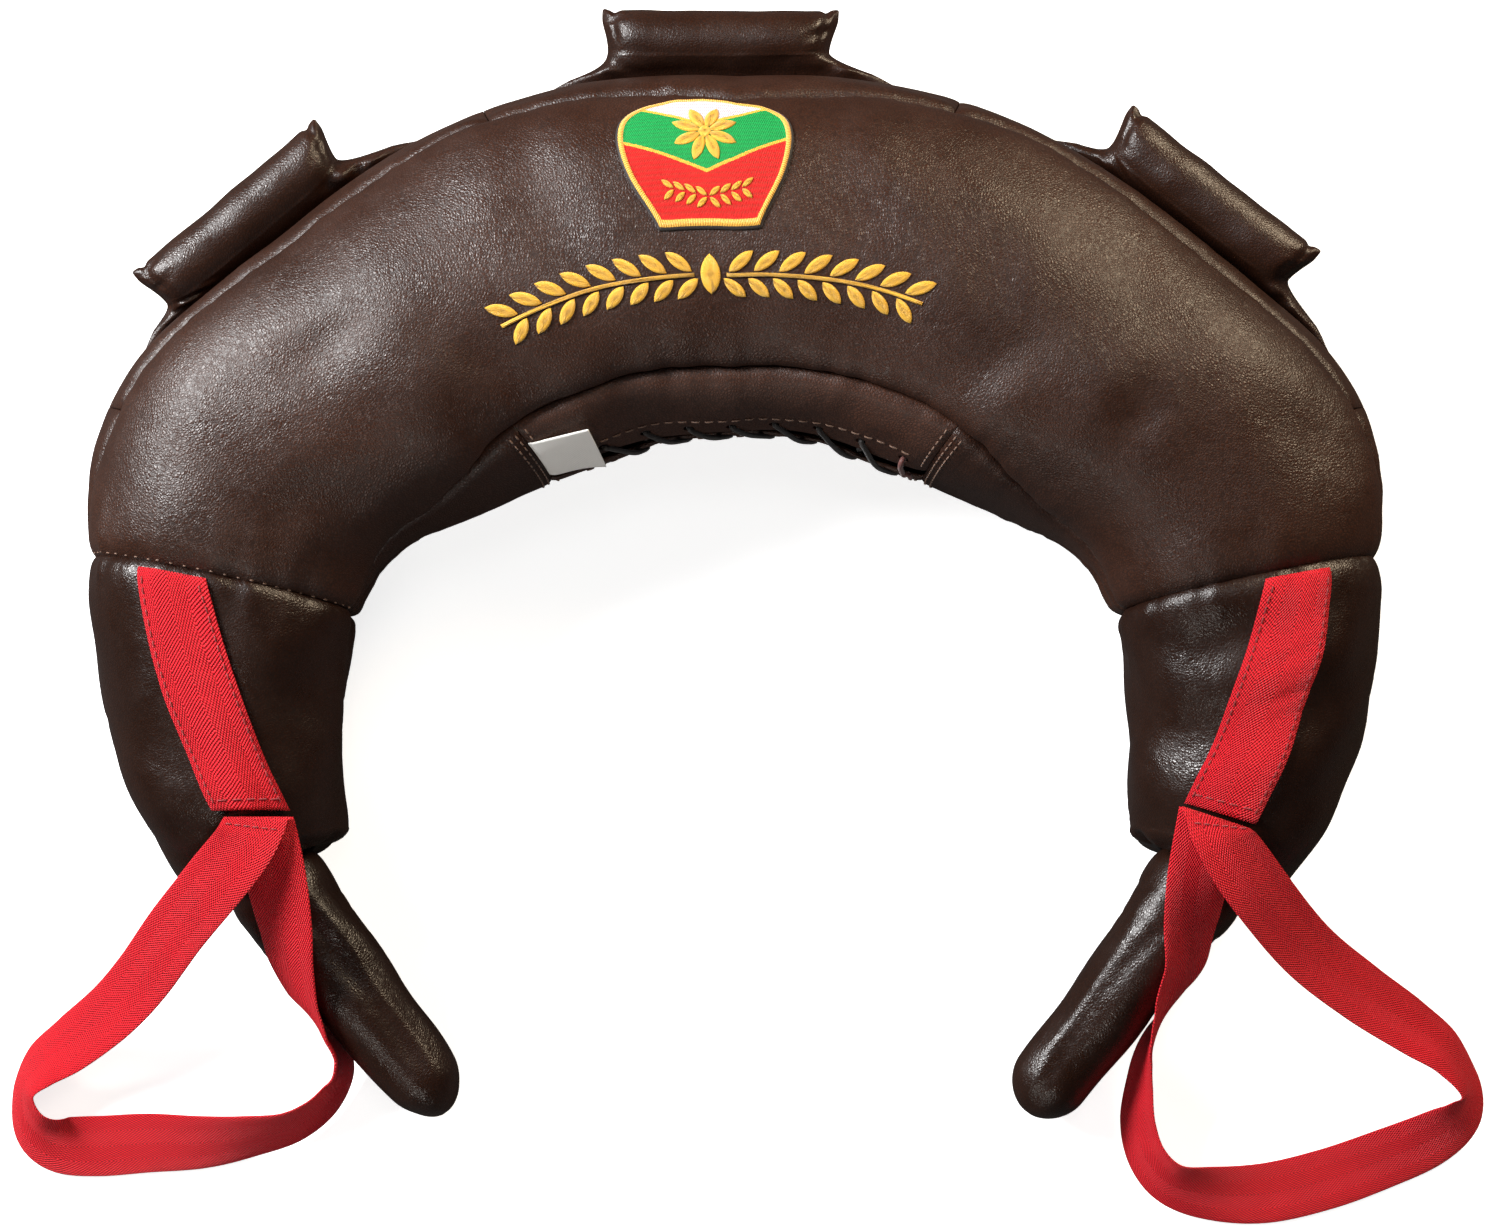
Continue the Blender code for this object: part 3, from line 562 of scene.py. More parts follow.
def joined_tubes(name, tubes, coordinates=None):
    """Many closed tubes, each from its rings of points, as one piece."""
    faces, start = [], 0
    for rings in tubes:
        index = np.arange(rings.shape[0] * rings.shape[1]).reshape(rings.shape[:2])
        body = grid_faces(index, True)
        tips = [index[0][::-1], index[-1]]
        if volume(rings - rings.mean((0, 1)), body) < 0:
            body, tips = body[:, ::-1], [tip[::-1] for tip in tips]
        faces += (body + start).tolist() + [(tip + start).tolist() for tip in tips]
        start += index.size
    points = np.concatenate([rings.reshape(-1, 3) for rings in tubes])
    uv = None
    if coordinates:
        uv = np.concatenate([part.reshape(-1, 2) for part in coordinates])
    return new_object(name, points, faces, uv)


def stitch_row(place, first, last, length, gap, height):
    """Paths of arched stitches along a line; place takes places along it and a lift."""
    sink = 0.0005
    count = max(int((last - first) / (length + gap)), 1)
    step = (last - first) / count
    shares = np.array([0.0, 0.16, 0.5, 0.84, 1.0])
    lifts = np.array([-sink, height * 0.75, height, height * 0.75, -sink])
    reach = step * length / (length + gap)
    return [place(first + step * number + reach * shares, lifts) for number in range(count)]


def line_on_skin(angles, turns):
    """A function that gives points above the leather along a line, and the line's length."""
    fine = np.linspace(0, 1, 200)
    rows = np.linspace(0, 1, len(angles))
    fine_angles, fine_turns = np.interp(fine, rows, angles), np.interp(fine, rows, turns)
    points = surface(fine_angles, fine_turns)
    travelled = travel(points)

    def place(along, lift):
        share = np.interp(along, travelled, fine)
        angle, turn = (np.interp(share, fine, values) for values in (fine_angles, fine_turns))
        return surface(angle, turn, lift)

    return place, travelled[-1]


# Materials


def new_material(name, base, roughness, specular=0.5, coat=0.0, coat_roughness=0.3, sheen=0.0):
    material = bpy.data.materials.new(name)
    material.use_nodes = True
    shader = material.node_tree.nodes["Principled BSDF"]
    for socket, value in (
        ("Base Color", (*base, 1)),
        ("Roughness", roughness),
        ("Specular IOR Level", specular),
        ("Coat Weight", coat),
        ("Coat Roughness", coat_roughness),
        ("Sheen Weight", sheen),
    ):
        shader.inputs[socket].default_value = value
    material.diffuse_color = (*base, 1)
    return material, shader


class Nodes:
    """A material, with short names for the nodes that it is made of."""

    def __init__(self, name, base, roughness, **finish):
        self.material, self.shader = new_material(name, base, roughness, **finish)
        self.tree = self.material.node_tree
        coordinates = self.tree.nodes.new("ShaderNodeTexCoord")
        self.place, self.uv = coordinates.outputs["Object"], coordinates.outputs["UV"]

    def plug(self, value, socket):
        if isinstance(value, bpy.types.NodeSocket):
            self.tree.links.new(value, socket)
        elif value is not None:
            socket.default_value = value

    def node(self, kind, **values):
        node = self.tree.nodes.new(f"ShaderNode{kind}")
        for name, value in values.items():
            self.plug(value, node.inputs[name.replace("_", " ")])
        return node

    def noise(self, vector, scale, detail=3.0, roughness=0.55, distortion=0.0, output="Fac"):
        node = self.node("TexNoise", Vector=vector, Scale=scale, Detail=detail, Roughness=roughness)
        self.plug(distortion, node.inputs["Distortion"])
        return node.outputs[output]

    def cell_edges(self, vector, scale):
        node = self.node("TexVoronoi")
        node.feature = "DISTANCE_TO_EDGE"
        self.plug(vector, node.inputs["Vector"])
        self.plug(scale, node.inputs["Scale"])
        return node.outputs["Distance"]

    def math(self, operation, *values, kind="Math"):
        node = self.node(kind)
        node.operation = operation
        for socket, value in zip(node.inputs, values):
            self.plug(value, socket)
        return node.outputs[0]

    def scaled(self, vector, scale):
        node = self.node("VectorMath")
        node.operation = "SCALE"
        self.plug(vector, node.inputs[0])
        self.plug(scale, node.inputs["Scale"])
        return node.outputs[0]

    def times(self, value, factor):
        return self.math("MULTIPLY", value, factor)

    def plus(self, value, other, share):
        """A value and a share of another."""
        return self.math("ADD", value, self.times(other, share))

    def sine(self, value, length):
        """A sine of a wavelength."""
        return self.math("SINE", self.times(value, 2 * math.pi / length))

    def wave(self, value, length):
        """A sine of a wavelength, from 0 to 1."""
        return self.spread(self.sine(value, length), -1.0, 1.0)

    def spread(self, value, low, high, to_low=0.0, to_high=1.0):
        ends = {"From_Min": low, "From_Max": high, "To_Min": to_low, "To_Max": to_high}
        return self.node("MapRange", Value=value, **ends).outputs[0]

    def mix(self, share, one, two):
        node = self.node("Mix")
        node.data_type = "RGBA"
        for number, value in ((0, share), (6, one), (7, two)):
            self.plug((*value, 1) if isinstance(value, tuple) else value, node.inputs[number])
        return node.outputs[2]

    def bump(self, height, distance, strength=1.0, normal=None):
        values = {"Distance": distance, "Strength": strength, "Normal": normal}
        return self.node("Bump", Height=height, **values).outputs[0]

    def split(self, vector):
        return self.node("SeparateXYZ", Vector=vector).outputs

    def finish(self, tone, rough, normal):
        self.plug(tone, self.shader.inputs["Base Color"])
        self.plug(rough, self.shader.inputs["Roughness"])
        self.plug(normal, self.shader.inputs["Normal"])
        return self.material


def darker(colour, share):
    return tuple(value * share for value in colour)


def leather_material(name, dark=1.0, rough=0.36, wrinkle=0.0, relief_depth=0.00023):
    """Brown grained leather: pebbles with fine creases, soft mottling and worn high spots."""
    finish = {"specular": 0.40, "coat": 0.04, "coat_roughness": 0.28}
    n = Nodes(name, darker((0.027, 0.0105, 0.0060), dark), rough, **finish)
    warp = n.noise(n.place, 120.0, 2.0, output="Color")
    bent = n.math("ADD", n.place, n.scaled(warp, 0.0035), kind="VectorMath")
    pebbles = n.spread(n.cell_edges(bent, 760.0), 0.0, 0.40)
    creases = n.noise(bent, 240.0, 1.0, 0.5, 0.6)
    broad = n.noise(n.place, 13.0)
    patchy = n.noise(n.place, 60.0)
    deep, warm, light = (
        darker(colour, dark)
        for colour in ((0.024, 0.0074, 0.0031), (0.039, 0.0126, 0.0058), (0.048, 0.0162, 0.0078))
    )
    tone = n.mix(n.spread(broad, 0.3, 0.7), deep, warm)
    tone = n.mix(n.spread(patchy, 0.35, 0.75, 0.0, 0.35), tone, light)
    tone = n.mix(n.spread(pebbles, 0.0, 0.5, 0.7, 0.0), tone, (0.005, 0.002, 0.0012))
    worn = n.spread(patchy, 0.3, 0.7, rough - 0.05, rough + 0.06)
    shine = n.math("ADD", worn, n.spread(pebbles, 0.0, 1.0, 0.10, 0.0))
    height = n.plus(n.times(pebbles, 0.6), creases, 0.6 + wrinkle)
    normal = n.bump(height, relief_depth)
    if wrinkle:
        normal = n.bump(n.noise(n.place, 75.0, 1.0, 0.5, 1.6), 0.0016 * wrinkle, 0.6, normal)
    return n.finish(tone, shine, normal)


def webbing_material(name):
    """Red herringbone webbing; its UV holds metres across and along."""
    n = Nodes(name, (0.80, 0.010, 0.020), 0.6, specular=0.25)
    across, along, _ = n.split(n.uv)
    side = n.math("PINGPONG", n.math("ADD", across, webbing_width / 2), webbing_width / 4)
    ridge = n.wave(n.math("SUBTRACT", along, n.times(side, 1.35)), 0.0017)
    yarn = n.wave(n.plus(side, along, 0.42), 0.00105)
    weave = n.plus(n.times(ridge, 0.6), yarn, 0.4)
    weave = n.times(weave, n.spread(side, 0.0, 0.0005, 0.75, 1.0))
    fuzz = n.noise(n.place, 900.0)
    broad = n.noise(n.place, 45.0)
    # Dark red where the weave lies low is painted shade in the grooves between the yarn ridges
    tone = n.mix(n.spread(weave, 0.05, 0.75), (0.13, 0.001, 0.002), (0.80, 0.012, 0.026))
    tone = n.mix(n.spread(broad, 0.35, 0.7, 0.0, 0.3), tone, (0.66, 0.006, 0.016))
    height = n.plus(weave, fuzz, 0.25)
    return n.finish(tone, n.spread(fuzz, 0.3, 0.7, 0.48, 0.66), n.bump(height, 0.0008))


def thread_material(name, colour, twist=2400.0):
    n = Nodes(name, colour, 0.6, sheen=0.2)
    strands = n.noise(n.place, twist, 2.0)
    tone = n.mix(n.spread(strands, 0.35, 0.65), darker(colour, 0.45), colour)
    return n.finish(tone, n.spread(strands, 0.3, 0.7, 0.5, 0.7), n.bump(strands, 0.0002, 0.7))


def satin_material(name, colour, shade, run=0.00070):
    """Satin stitch: parallel threads across the run of the UV's second axis."""
    n = Nodes(name, colour, 0.42, sheen=0.15)
    along = n.split(n.uv)[1]
    jitter = n.noise(n.place, 700.0, 2.0)
    strands = n.wave(n.plus(along, jitter, 0.0004), run)
    tone = n.mix(n.spread(strands, 0.05, 0.7), shade, colour)
    return n.finish(tone, n.spread(jitter, 0.3, 0.7, 0.36, 0.52), n.bump(strands, 0.00025, 0.9))


def cloth_material(name, colour, thread_width, mottle, rough):
    """A plain close weave on the object's own axes, with slight mottling."""
    n = Nodes(name, colour, rough, sheen=0.1)
    x, y, z = n.split(n.place)
    one = n.sine(n.math("ADD", x, z), 2 * thread_width)
    two = n.sine(n.math("SUBTRACT", y, z), 2 * thread_width)
    weave = n.spread(n.times(one, two), -1.0, 1.0)
    soil = n.noise(n.place, 70.0, 4.0)
    tone = n.mix(n.spread(soil, 0.35, 0.7), colour, darker(colour, 1 - mottle))
    tone = n.mix(n.spread(weave, 0.0, 0.5, 0.25, 0.0), tone, darker(colour, 0.6))
    worn = n.spread(soil, 0.3, 0.7, rough - 0.06, rough + 0.06)
    return n.finish(tone, worn, n.bump(weave, 0.0002, 0.5))


def wool_material(name, colour, clump=180.0):
    n = Nodes(name, colour, 0.95, sheen=0.4)
    tufts = n.noise(n.place, clump, 6.0, 0.7, 1.5)
    tone = n.mix(n.spread(tufts, 0.3, 0.7), darker(colour, 0.6), colour)
    return n.finish(tone, n.spread(tufts, 0.3, 0.7, 0.85, 1.0), n.bump(tufts, 0.002, 0.9))


panel_leather = leather_material("panel_leather")
strip_leather = leather_material("strip_leather", 1.5, 0.45)
arm_leather = leather_material("arm_leather", 0.48, 0.27, 0.12, 0.00017)
grip_leather = leather_material("grip_leather", 0.70, 0.30, 0.12, 0.00017)
red_webbing = webbing_material("red_webbing")
red_thread = thread_material("red_thread", (0.30, 0.003, 0.008))
brown_thread = thread_material("brown_thread", (0.20, 0.105, 0.065))
black_lace = thread_material("black_lace", (0.016, 0.012, 0.011), 1500.0)
rust_lace = thread_material("rust_lace", (0.13, 0.035, 0.028), 1500.0)
white_cloth = cloth_material("white_cloth", (0.90, 0.89, 0.86), 0.00035, 0.05, 0.6)
foam = wool_material("foam", (0.25, 0.25, 0.25), 1400.0)
gold_satin = satin_material("gold_satin", (0.95, 0.56, 0.05), (0.55, 0.25, 0.012))
gold_border = satin_material("gold_border", (0.90, 0.52, 0.08), (0.40, 0.16, 0.012), 0.0009)


def dress(piece, material, *nodes, body="bag", slot="leather"):
    """Gives a piece its material, the nodes it stands for and the body it rides; its slot is not
    used.
    """
    piece.data.materials.append(material)
    if nodes:
        piece.name = f"{nodes[0]}_look"
        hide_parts(*nodes)
    if body:
        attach(piece, body)
    return piece


def sew(name, paths, radius, material, body="bag"):
    """Stitches along paths, as one piece of thread."""
    end_share = 0.45
    tubes = []
    for path in paths:
        thick = np.full(len(path), radius)
        thick[[0, -1]] *= end_share
        tubes.append(tube_rings(path, thick, 6))
    dress(joined_tubes(name, tubes), material, body=body, slot=None)


def sheet_between(name, angles, turns, outer, inner, ring=False):
    """A closed sheet between two insets from the crescent's skin."""
    sides = [skin(angles, turns, inset) + frame_shift for inset in (outer, inner)]
    return slab(name, *sides, ring)


# Leather panels


def panel(name, angles, low_turn, high_turn, row_step=0.0032, material=panel_leather, cut=None):
    """Leather between two seams; the seams are functions of the angle."""
    end_gap = math.degrees(seam_gap / 4 / section(angles[0])[0])
    angles[0] += end_gap
    angles[-1] -= end_gap
    low = low_turn(angles) + turn_of(seam_gap / 2, angles)
    high = high_turn(angles) - turn_of(seam_gap / 2, angles)
    length = float(np.median((high - low) * metres_per_degree(angles)))
    turns = low + (high - low) * dense_ends(length, row_step)[:, None]
    angles = np.broadcast_to(angles, turns.shape)
    lift = relief(angles, turns)
    piece = sheet_between(name, angles, turns, -lift, leather - lift)
    if cut:
        cut_holes(piece, cut)
    return dress(piece, material, name)


def cut_holes(piece, punch):
    """Applies a Boolean cut by the punch, which is then removed."""
    change = piece.modifiers.new("holes", "BOOLEAN")
    change.operation = "DIFFERENCE"
    change.solver = "EXACT"
    change.object = punch
    graph = bpy.context.evaluated_depsgraph_get()
    cut = bpy.data.meshes.new_from_object(piece.evaluated_get(graph))
    piece.modifiers.clear()
    piece.data = cut
    bpy.data.objects.remove(punch, do_unlink=True)


def flap_edge(angle):
    return turn_of(closure_gap / 2, angle)


def hole_turn(angle):
    return flap_edge(angle) + turn_of(lace_hole_inset, angle)


def hole_angles():
    return np.linspace(lace_first_angle, lace_last_angle, lace_holes)


def punches(name, side):
    """Round punches square to the skin at the lace holes of one flap."""
    shape = bmesh.new()
    radius = lace_hole_diameter / 2
    for angle in hole_angles():
        turn = -90 + side * hole_turn(angle)
        inward = Vector(skin(angle, turn, leather) - skin(angle, turn))
        spin = inward.to_track_quat("Z", "Y").to_matrix().to_4x4()
        matrix = Matrix.Translation(Vector(surface(angle, turn, -leather / 2))) @ spin
        sizes = {"radius1": radius, "radius2": radius, "depth": leather * 5}
        bmesh.ops.create_cone(shape, cap_ends=True, segments=20, matrix=matrix, **sizes)
    return from_shape(name, shape)


def build_panels():
    half, closure = arm_seam_angle, closure_half_angle
    front = panel("front_panel", columns(-half, half, 0.62), inner_seam, outer_seam)
    floor = columns(-half, half, 0.9)
    panel("back_panel", floor, back_outer_seam, lambda angle: 180 - inner_seam(angle), 0.005)
    ends = (-half, *gusset_cuts, half)
    for name, first, last in zip(("left_end", "left", "top", "right", "right_end"), ends, ends[1:]):
        panel(f"outer_gusset_{name}", columns(first, last, 0.6), outer_seam, back_outer_seam)
    for name, first, last in (("left", -half, -closure), ("right", closure, half)):
        panel(f"inner_gusset_{name}", columns(first, last, 0.9), back_inner_seam, inner_seam)
    crown = columns(-closure, closure, 1.0)
    for name, side, low, high in (
        ("front", 1, lambda angle: -90 + flap_edge(angle), inner_seam),
        ("back", -1, back_inner_seam, lambda angle: -90 - flap_edge(angle)),
    ):
        panel(f"closure_flap_{name}", crown, low, high, 0.0028, strip_leather, punches(name, side))
    angles = np.linspace(1.5 - closure, closure - 1.5, 90)
    turns = -90 + (hole_turn(angles) + flap_reach_turn) * np.linspace(-1, 1, 24)[:, None]
    angles = np.broadcast_to(angles, turns.shape)
    inset = guard_depth - relief(angles, turns)
    guard = sheet_between("lace_guard", angles, turns, inset, inset + leather)
    dress(guard, panel_leather, "lace_guard")


# The lace


def lace_route(steps=12):
    """The lace's points: slanting over both flaps outside, then straight back inside."""
    lift = lace_clearance + lace_diameter / 2
    edge_share = 0.12
    angles = hole_angles()
    step = angles[1] - angles[0]
    route = []

    def add(angle, share, height):
        route.append(surface(angle, -90 + hole_turn(angle) * share, height))

    for angle in angles[:-1]:
        for share in np.linspace(0.0, 1.0, steps):
            arch = math.sin(math.pi * min(max(share, edge_share), 1 - edge_share))
            add(angle + step * share, 1 - 2 * share, lift * arch)
        add(angle + step, -1, -leather / 2)
        for share in np.linspace(0.0, 1.0, steps // 2):
            add(angle + step, 2 * share - 1, -(leather + lift))
        add(angle + step, 1, -leather / 2)
    return np.array(route)


# The lace's tail: angle beyond the last hole, share of the hole's turn, and lift in lace diameters
tail_knots = (
    (0.0, 1.0, -0.6),
    (0.15, 1.0, 0.8),
    (0.5, 0.75, 1.3),
    (1.0, 0.3, 0.9),
    (1.7, -0.1, 0.7),
    (2.5, 0.1, 0.8),
    (3.3, -0.3, 0.7),
)


def build_lace():
    route = lace_route()
    smooth = route.copy()
    smooth[1:-1] = (route[:-2] + route[1:-1] * 2 + route[2:]) / 4
    run = travel(smooth)
    sides = 10
    around = np.linspace(0, 1, sides, endpoint=False) * lace_diameter * math.pi
    uv = np.stack(np.broadcast_arrays(around, run[:, None]), -1)
    piece = closed_rings("whip_lace", tube_rings(smooth, lace_diameter / 2, sides), uv)
    dress(piece, black_lace, "closure_lace", slot="lace_cord")
    last, rows = lace_last_angle, 48
    track = [
        surface(last + off, -90 + hole_turn(last) * share, lift * lace_diameter)
        for off, share, lift in tail_knots
    ]
    table = [(number, *point) for number, point in enumerate(track)]
    path = np.stack(read(table, np.linspace(0, len(track) - 1, rows)), -1)
    thick = lace_diameter / 2 * np.where(np.linspace(0, 1, rows) > 0.96, 0.6, 1.0)
    tail = dress(closed_rings("lace_tail", tube_rings(path, thick, sides)), rust_lace, slot=None)
    tuple(smooth[0])


# Arms and horns


def beside(points, side):
    """Points of the right side, or their mirror on the left, in the part's frame."""
    return points * np.array((side, 1.0, 1.0)) + frame_shift


lean_cos, lean_sin = compass(horn_lean)
horn_heading = np.array((-lean_sin, -lean_cos, 0.0))
horn_outward = np.array((lean_cos, -lean_sin, 0.0))
ball_radius = horn_root_diameter / 2
horn_mouth = -horn_mouth_share * ball_radius
# The arm's length in metres, from its cross seam to its round end
arm_run = 0.11
horn_root = polar(section(horn_root_angle)[0], horn_root_angle, horn_root_height)


def spoke(turn):
    turn = np.radians(turn)[..., None]
    return horn_outward * np.sin(turn) + up * np.cos(turn)


def arm_angle(along):
    return arm_seam_angle + (arm_lobe_angle - arm_seam_angle) * np.minimum(along, 1.0)


def arm_outside(along, turn):
    """The arm from its cross seam, at 0, over its end, from 1, to the rim at the horn, at 2."""
    along, turn = paired(along, turn)
    near = skin(arm_angle(along), turn)
    radius, _, half_height = section(arm_lobe_angle)
    lobe_middle = polar(radius, arm_lobe_angle, half_height)
    rim_radius = ball_radius + horn_ball_gap + leather
    tilt_cos, tilt_sin = compass(horn_rim_tilt)
    rim_middle = horn_root - horn_heading * rim_radius * tilt_sin
    rim = spoke(turn) * rim_radius * tilt_cos
    share = np.clip(along - 1, 0, None)[..., None]
    middle = lobe_middle + (rim_middle - lobe_middle) * share
    reach = (skin(arm_lobe_angle, turn) - lobe_middle) * (1 - share * share) + rim * share * share
    return np.where(along[..., None] <= 1, near, middle + reach)


def arm_relief(along, turn, side):
    """Puckers under the cross seam, soft folds down the arm and gathers round the horn's rim."""
    along, turn = paired(along, turn)
    lift = relief(np.minimum(arm_angle(along), arm_seam_angle + 6) * side, turn)
    down = along * arm_run
    fade = hump(down, 0.02)
    seam = seam_dip(down, turn * 0.0012 + side * 0.7, *arm_seam_shape)
    spot = arm_outside(along, turn)
    soft = swell(spot, 31 + side, 0.03, 0.08) * 0.0010 - 0.0012
    creases = np.maximum(ripple(down + 0.0004 * turn, 33 + side, 0.008, 0.02), 0)
    soft = soft - 0.0005 * np.clip(creases * swell(spot, 35 + side, 0.03, 0.07), 0, 1.5)
    rim = ease((along - 1.0) / 0.8)
    before_rim = 1 - ease((along - 1.85) / 0.15)
    gathers = ripple(turn / 360.0, 41 + side, 1 / 17.0, 1 / 9.0)
    gathers = gathers * ease((along - 1.05) / 0.5) * before_rim * 0.0011
    body = fade * lift + (1 - fade) * (seam + soft * (1 - rim))
    return np.minimum(body + gathers, 0.0012) * before_rim


def arm_skin(along, turn, inset):
    """Points of the arm, or the inset inside it, measured square to its surface."""
    way_on = arm_outside(along + 0.01, turn) - arm_outside(along - 0.01, turn)
    way_round = arm_outside(along, turn + 0.5) - arm_outside(along, turn - 0.5)
    inward = unit(np.cross(way_round, way_on))
    points = arm_outside(along, turn) + inward * np.asarray(inset)[..., None]
    points[..., 2] = np.maximum(points[..., 2], 0.0)
    return points


def arm_surface(along, turn, side, lift=0.0):
    return beside(arm_skin(along, turn, -(arm_relief(along, turn, side) + lift)), side)


def horn_radius(reach, inset=0.0):
    ball = np.sqrt(np.maximum((ball_radius - inset) ** 2 - np.minimum(reach, 0.0) ** 2, 1e-9))
    radius = ball_radius * read(horn_shares, np.maximum(reach, 0.0) / horn_length)[0] - inset
    tip_start = horn_length * (1 - horn_tip_share)
    beyond = np.clip((reach - tip_start) / (horn_length - inset - tip_start), 0.0, 1.0)
    return np.where(reach < 0, ball, radius * np.sqrt(1 - beyond**2))


def horn_relief(reach, turn, side):
    """Creases where the horn leaves the arm, a soft ridge along it and slight unevenness."""
    clear = ease((reach - 0.004) / 0.012)
    root = np.exp(-np.maximum(reach - 0.008, 0) / 0.022)
    folds = ripple(turn / 360.0 + reach * 1.5, 51 + side, 1 / 11.0, 1 / 5.0)
    folds = -np.clip(folds, 0, 2) * 0.0013 * root
    bands = -np.clip(ripple(reach, 53 + side, 0.007, 0.016), 0, 2) * 0.0007 * np.exp(-reach / 0.03)
    ridge = hump(wrap(turn + 34), 9) * 0.0011 * ease((horn_length * 0.95 - reach) / 0.03)
    flank = -hump(wrap(turn + 12), 13) * 0.0008
    point = spoke(turn) * ball_radius + horn_heading * reach[..., None]
    soft = swell(point, 55 + side, 0.03, 0.08) * 0.0008 - 0.0008
    return np.minimum((folds + bands + ridge + flank + soft) * clear, 0.0006)


def horn_point(reach, turn, inset, side):
    reach, turn = paired(reach, turn)
    drop = horn_tip_drop * ease(np.maximum(reach, 0.0) / horn_length)
    radius = horn_radius(reach, inset)
    shape = horn_relief(reach, turn, side) * np.minimum(radius / ball_radius * 1.6, 1.0)
    middle = horn_root + horn_heading * reach[..., None] - up * drop[..., None]
    points = middle + spoke(turn) * (radius + shape)[..., None]
    points[..., 2] = np.maximum(points[..., 2], 0.0002)
    return beside(points, side)


def build_arm(name, side):
    first = seam_gap / (8 * collar_radius)
    near = first + np.array(edge_steps) / arm_run
    down, round_end = np.linspace(near[-1], 1.0, 38)[1:], np.linspace(1.0, 2.0, 22)[1:]
    along = np.concatenate([near, down, round_end])[:, None]
    outer, inner = (arm_surface(along, round_turns(132), side, lift) for lift in (0.0, -leather))
    cover = f"{name}_arm_cover"
    dress(slab(cover, outer, inner, ring=True), arm_leather, cover)


def build_horn(name, side):
    tip_start = horn_length * 0.86

    def rings(inset):
        last = horn_length - inset - horn_tip_flat / 8
        tip = last - (last - tip_start) * (1 - np.sin(np.linspace(0, math.pi / 2, 16)))
        reaches = np.concatenate([np.linspace(horn_mouth, tip_start, 58)[:-1], tip])
        return horn_point(reaches[:, None], round_turns(64), inset, side)

    both = np.concatenate([rings(0.0)[::-1], rings(leather)])
    cover = f"{name}_horn_cover"
    piece = dress(closed_rings(cover, both), arm_leather, cover, body=f"{name}_horn")


# Straps and hand loops

# Shares of the webbing's width at which its mesh has rows
half_shares = np.array([0.1, 0.2, 0.3, 0.4, 0.46, 0.492, 0.5])
cross_shares = np.concatenate([-half_shares[::-1], [0.0], half_shares])
# The strap's end stays just clear of the swinging loop
strap_gap_shares = {"left": 0.92, "right": 0.62}
# Length, gap and height of the stitches across the webbing and along its edges
tack = (0.0030, 0.0010, 0.0003)
edge_tack = (0.0032, 0.0011, 0.0003)
red_thread_radius = 0.00035


def edge_thickness(across):
    """The webbing thins to a round selvedge."""
    return np.sqrt(np.clip(1 - (np.abs(across) / 0.5) ** 14, 0.12, 1))


def strap_point(name, side, fold_slope):
    reach = angle_of(strap_end_gap * strap_gap_shares[name], loop_root_angle, loop_root_turn)
    fold = math.tan(math.radians(loop_root_angle - 90 - fold_slope))
    skew = angle_of(webbing_width * fold, loop_root_angle, loop_root_turn)

    def place(share, across, lift):
        share, across = np.broadcast_arrays(share, across)
        angle = strap_top_angle + (loop_root_angle - reach - strap_top_angle) * share
        angle = angle - skew * across * share**3
        turn = strap_top_turn + (loop_root_turn - strap_top_turn) * share
        turn = turn + turn_of(webbing_width * across, angle)
        along = (angle - arm_seam_angle) / (arm_lobe_angle - arm_seam_angle)
        # It lies flatter near its sewn end
        soft = arm_relief(along, turn, side) * (1 - 0.75 * ease((share - 0.75) / 0.25))
        return beside(skin(angle, turn, -(soft + lift)), side)

    return place


def webbing(name, place, shares, middle, body="bag", even=False):
    """Webbing along a route, and its length; place takes shares of route and width and a lift."""
    across = cross_shares[None, :]
    half = webbing_thickness / 2 * edge_thickness(across)
    outer, inner = place(shares, across, middle + half), place(shares, across, middle - half)
    run = travel(outer[:, len(cross_shares) // 2])
    if even:
        run = shares[:, 0] * run[-1]
    uv = np.stack(np.broadcast_arrays(across * webbing_width, run[:, None]), -1)
    dress(slab(name, outer, inner, uv=uv), red_webbing, name, body=body, slot="webbing")
    return run[-1]


def cross_row(place, share, half_width, top):
    """Stitches across the webbing at a share of its route."""
    half = half_width * webbing_width
    at_row = lambda along, lift: place(share, along / webbing_width, top + lift)
    return stitch_row(at_row, -half, half, *tack)


def build_strap(name, side, fold_slope):
    place = strap_point(name, side, fold_slope)
    middle = trim_gap + webbing_thickness / 2
    length = webbing(f"{name}_strap", place, np.linspace(0, 1, 56)[:, None], middle, even=True)
    top = trim_gap + webbing_thickness
    paths = []
    for edge in (-0.41, 0.41):
        at_edge = lambda along, lift: place(along / length, edge, top + lift)
        paths += stitch_row(at_edge, 0.004, length - 0.003, *edge_tack)
    paths += cross_row(place, 0.95, 0.4, top)
    sew(f"{name}_strap_stitches", paths, red_thread_radius, red_thread)


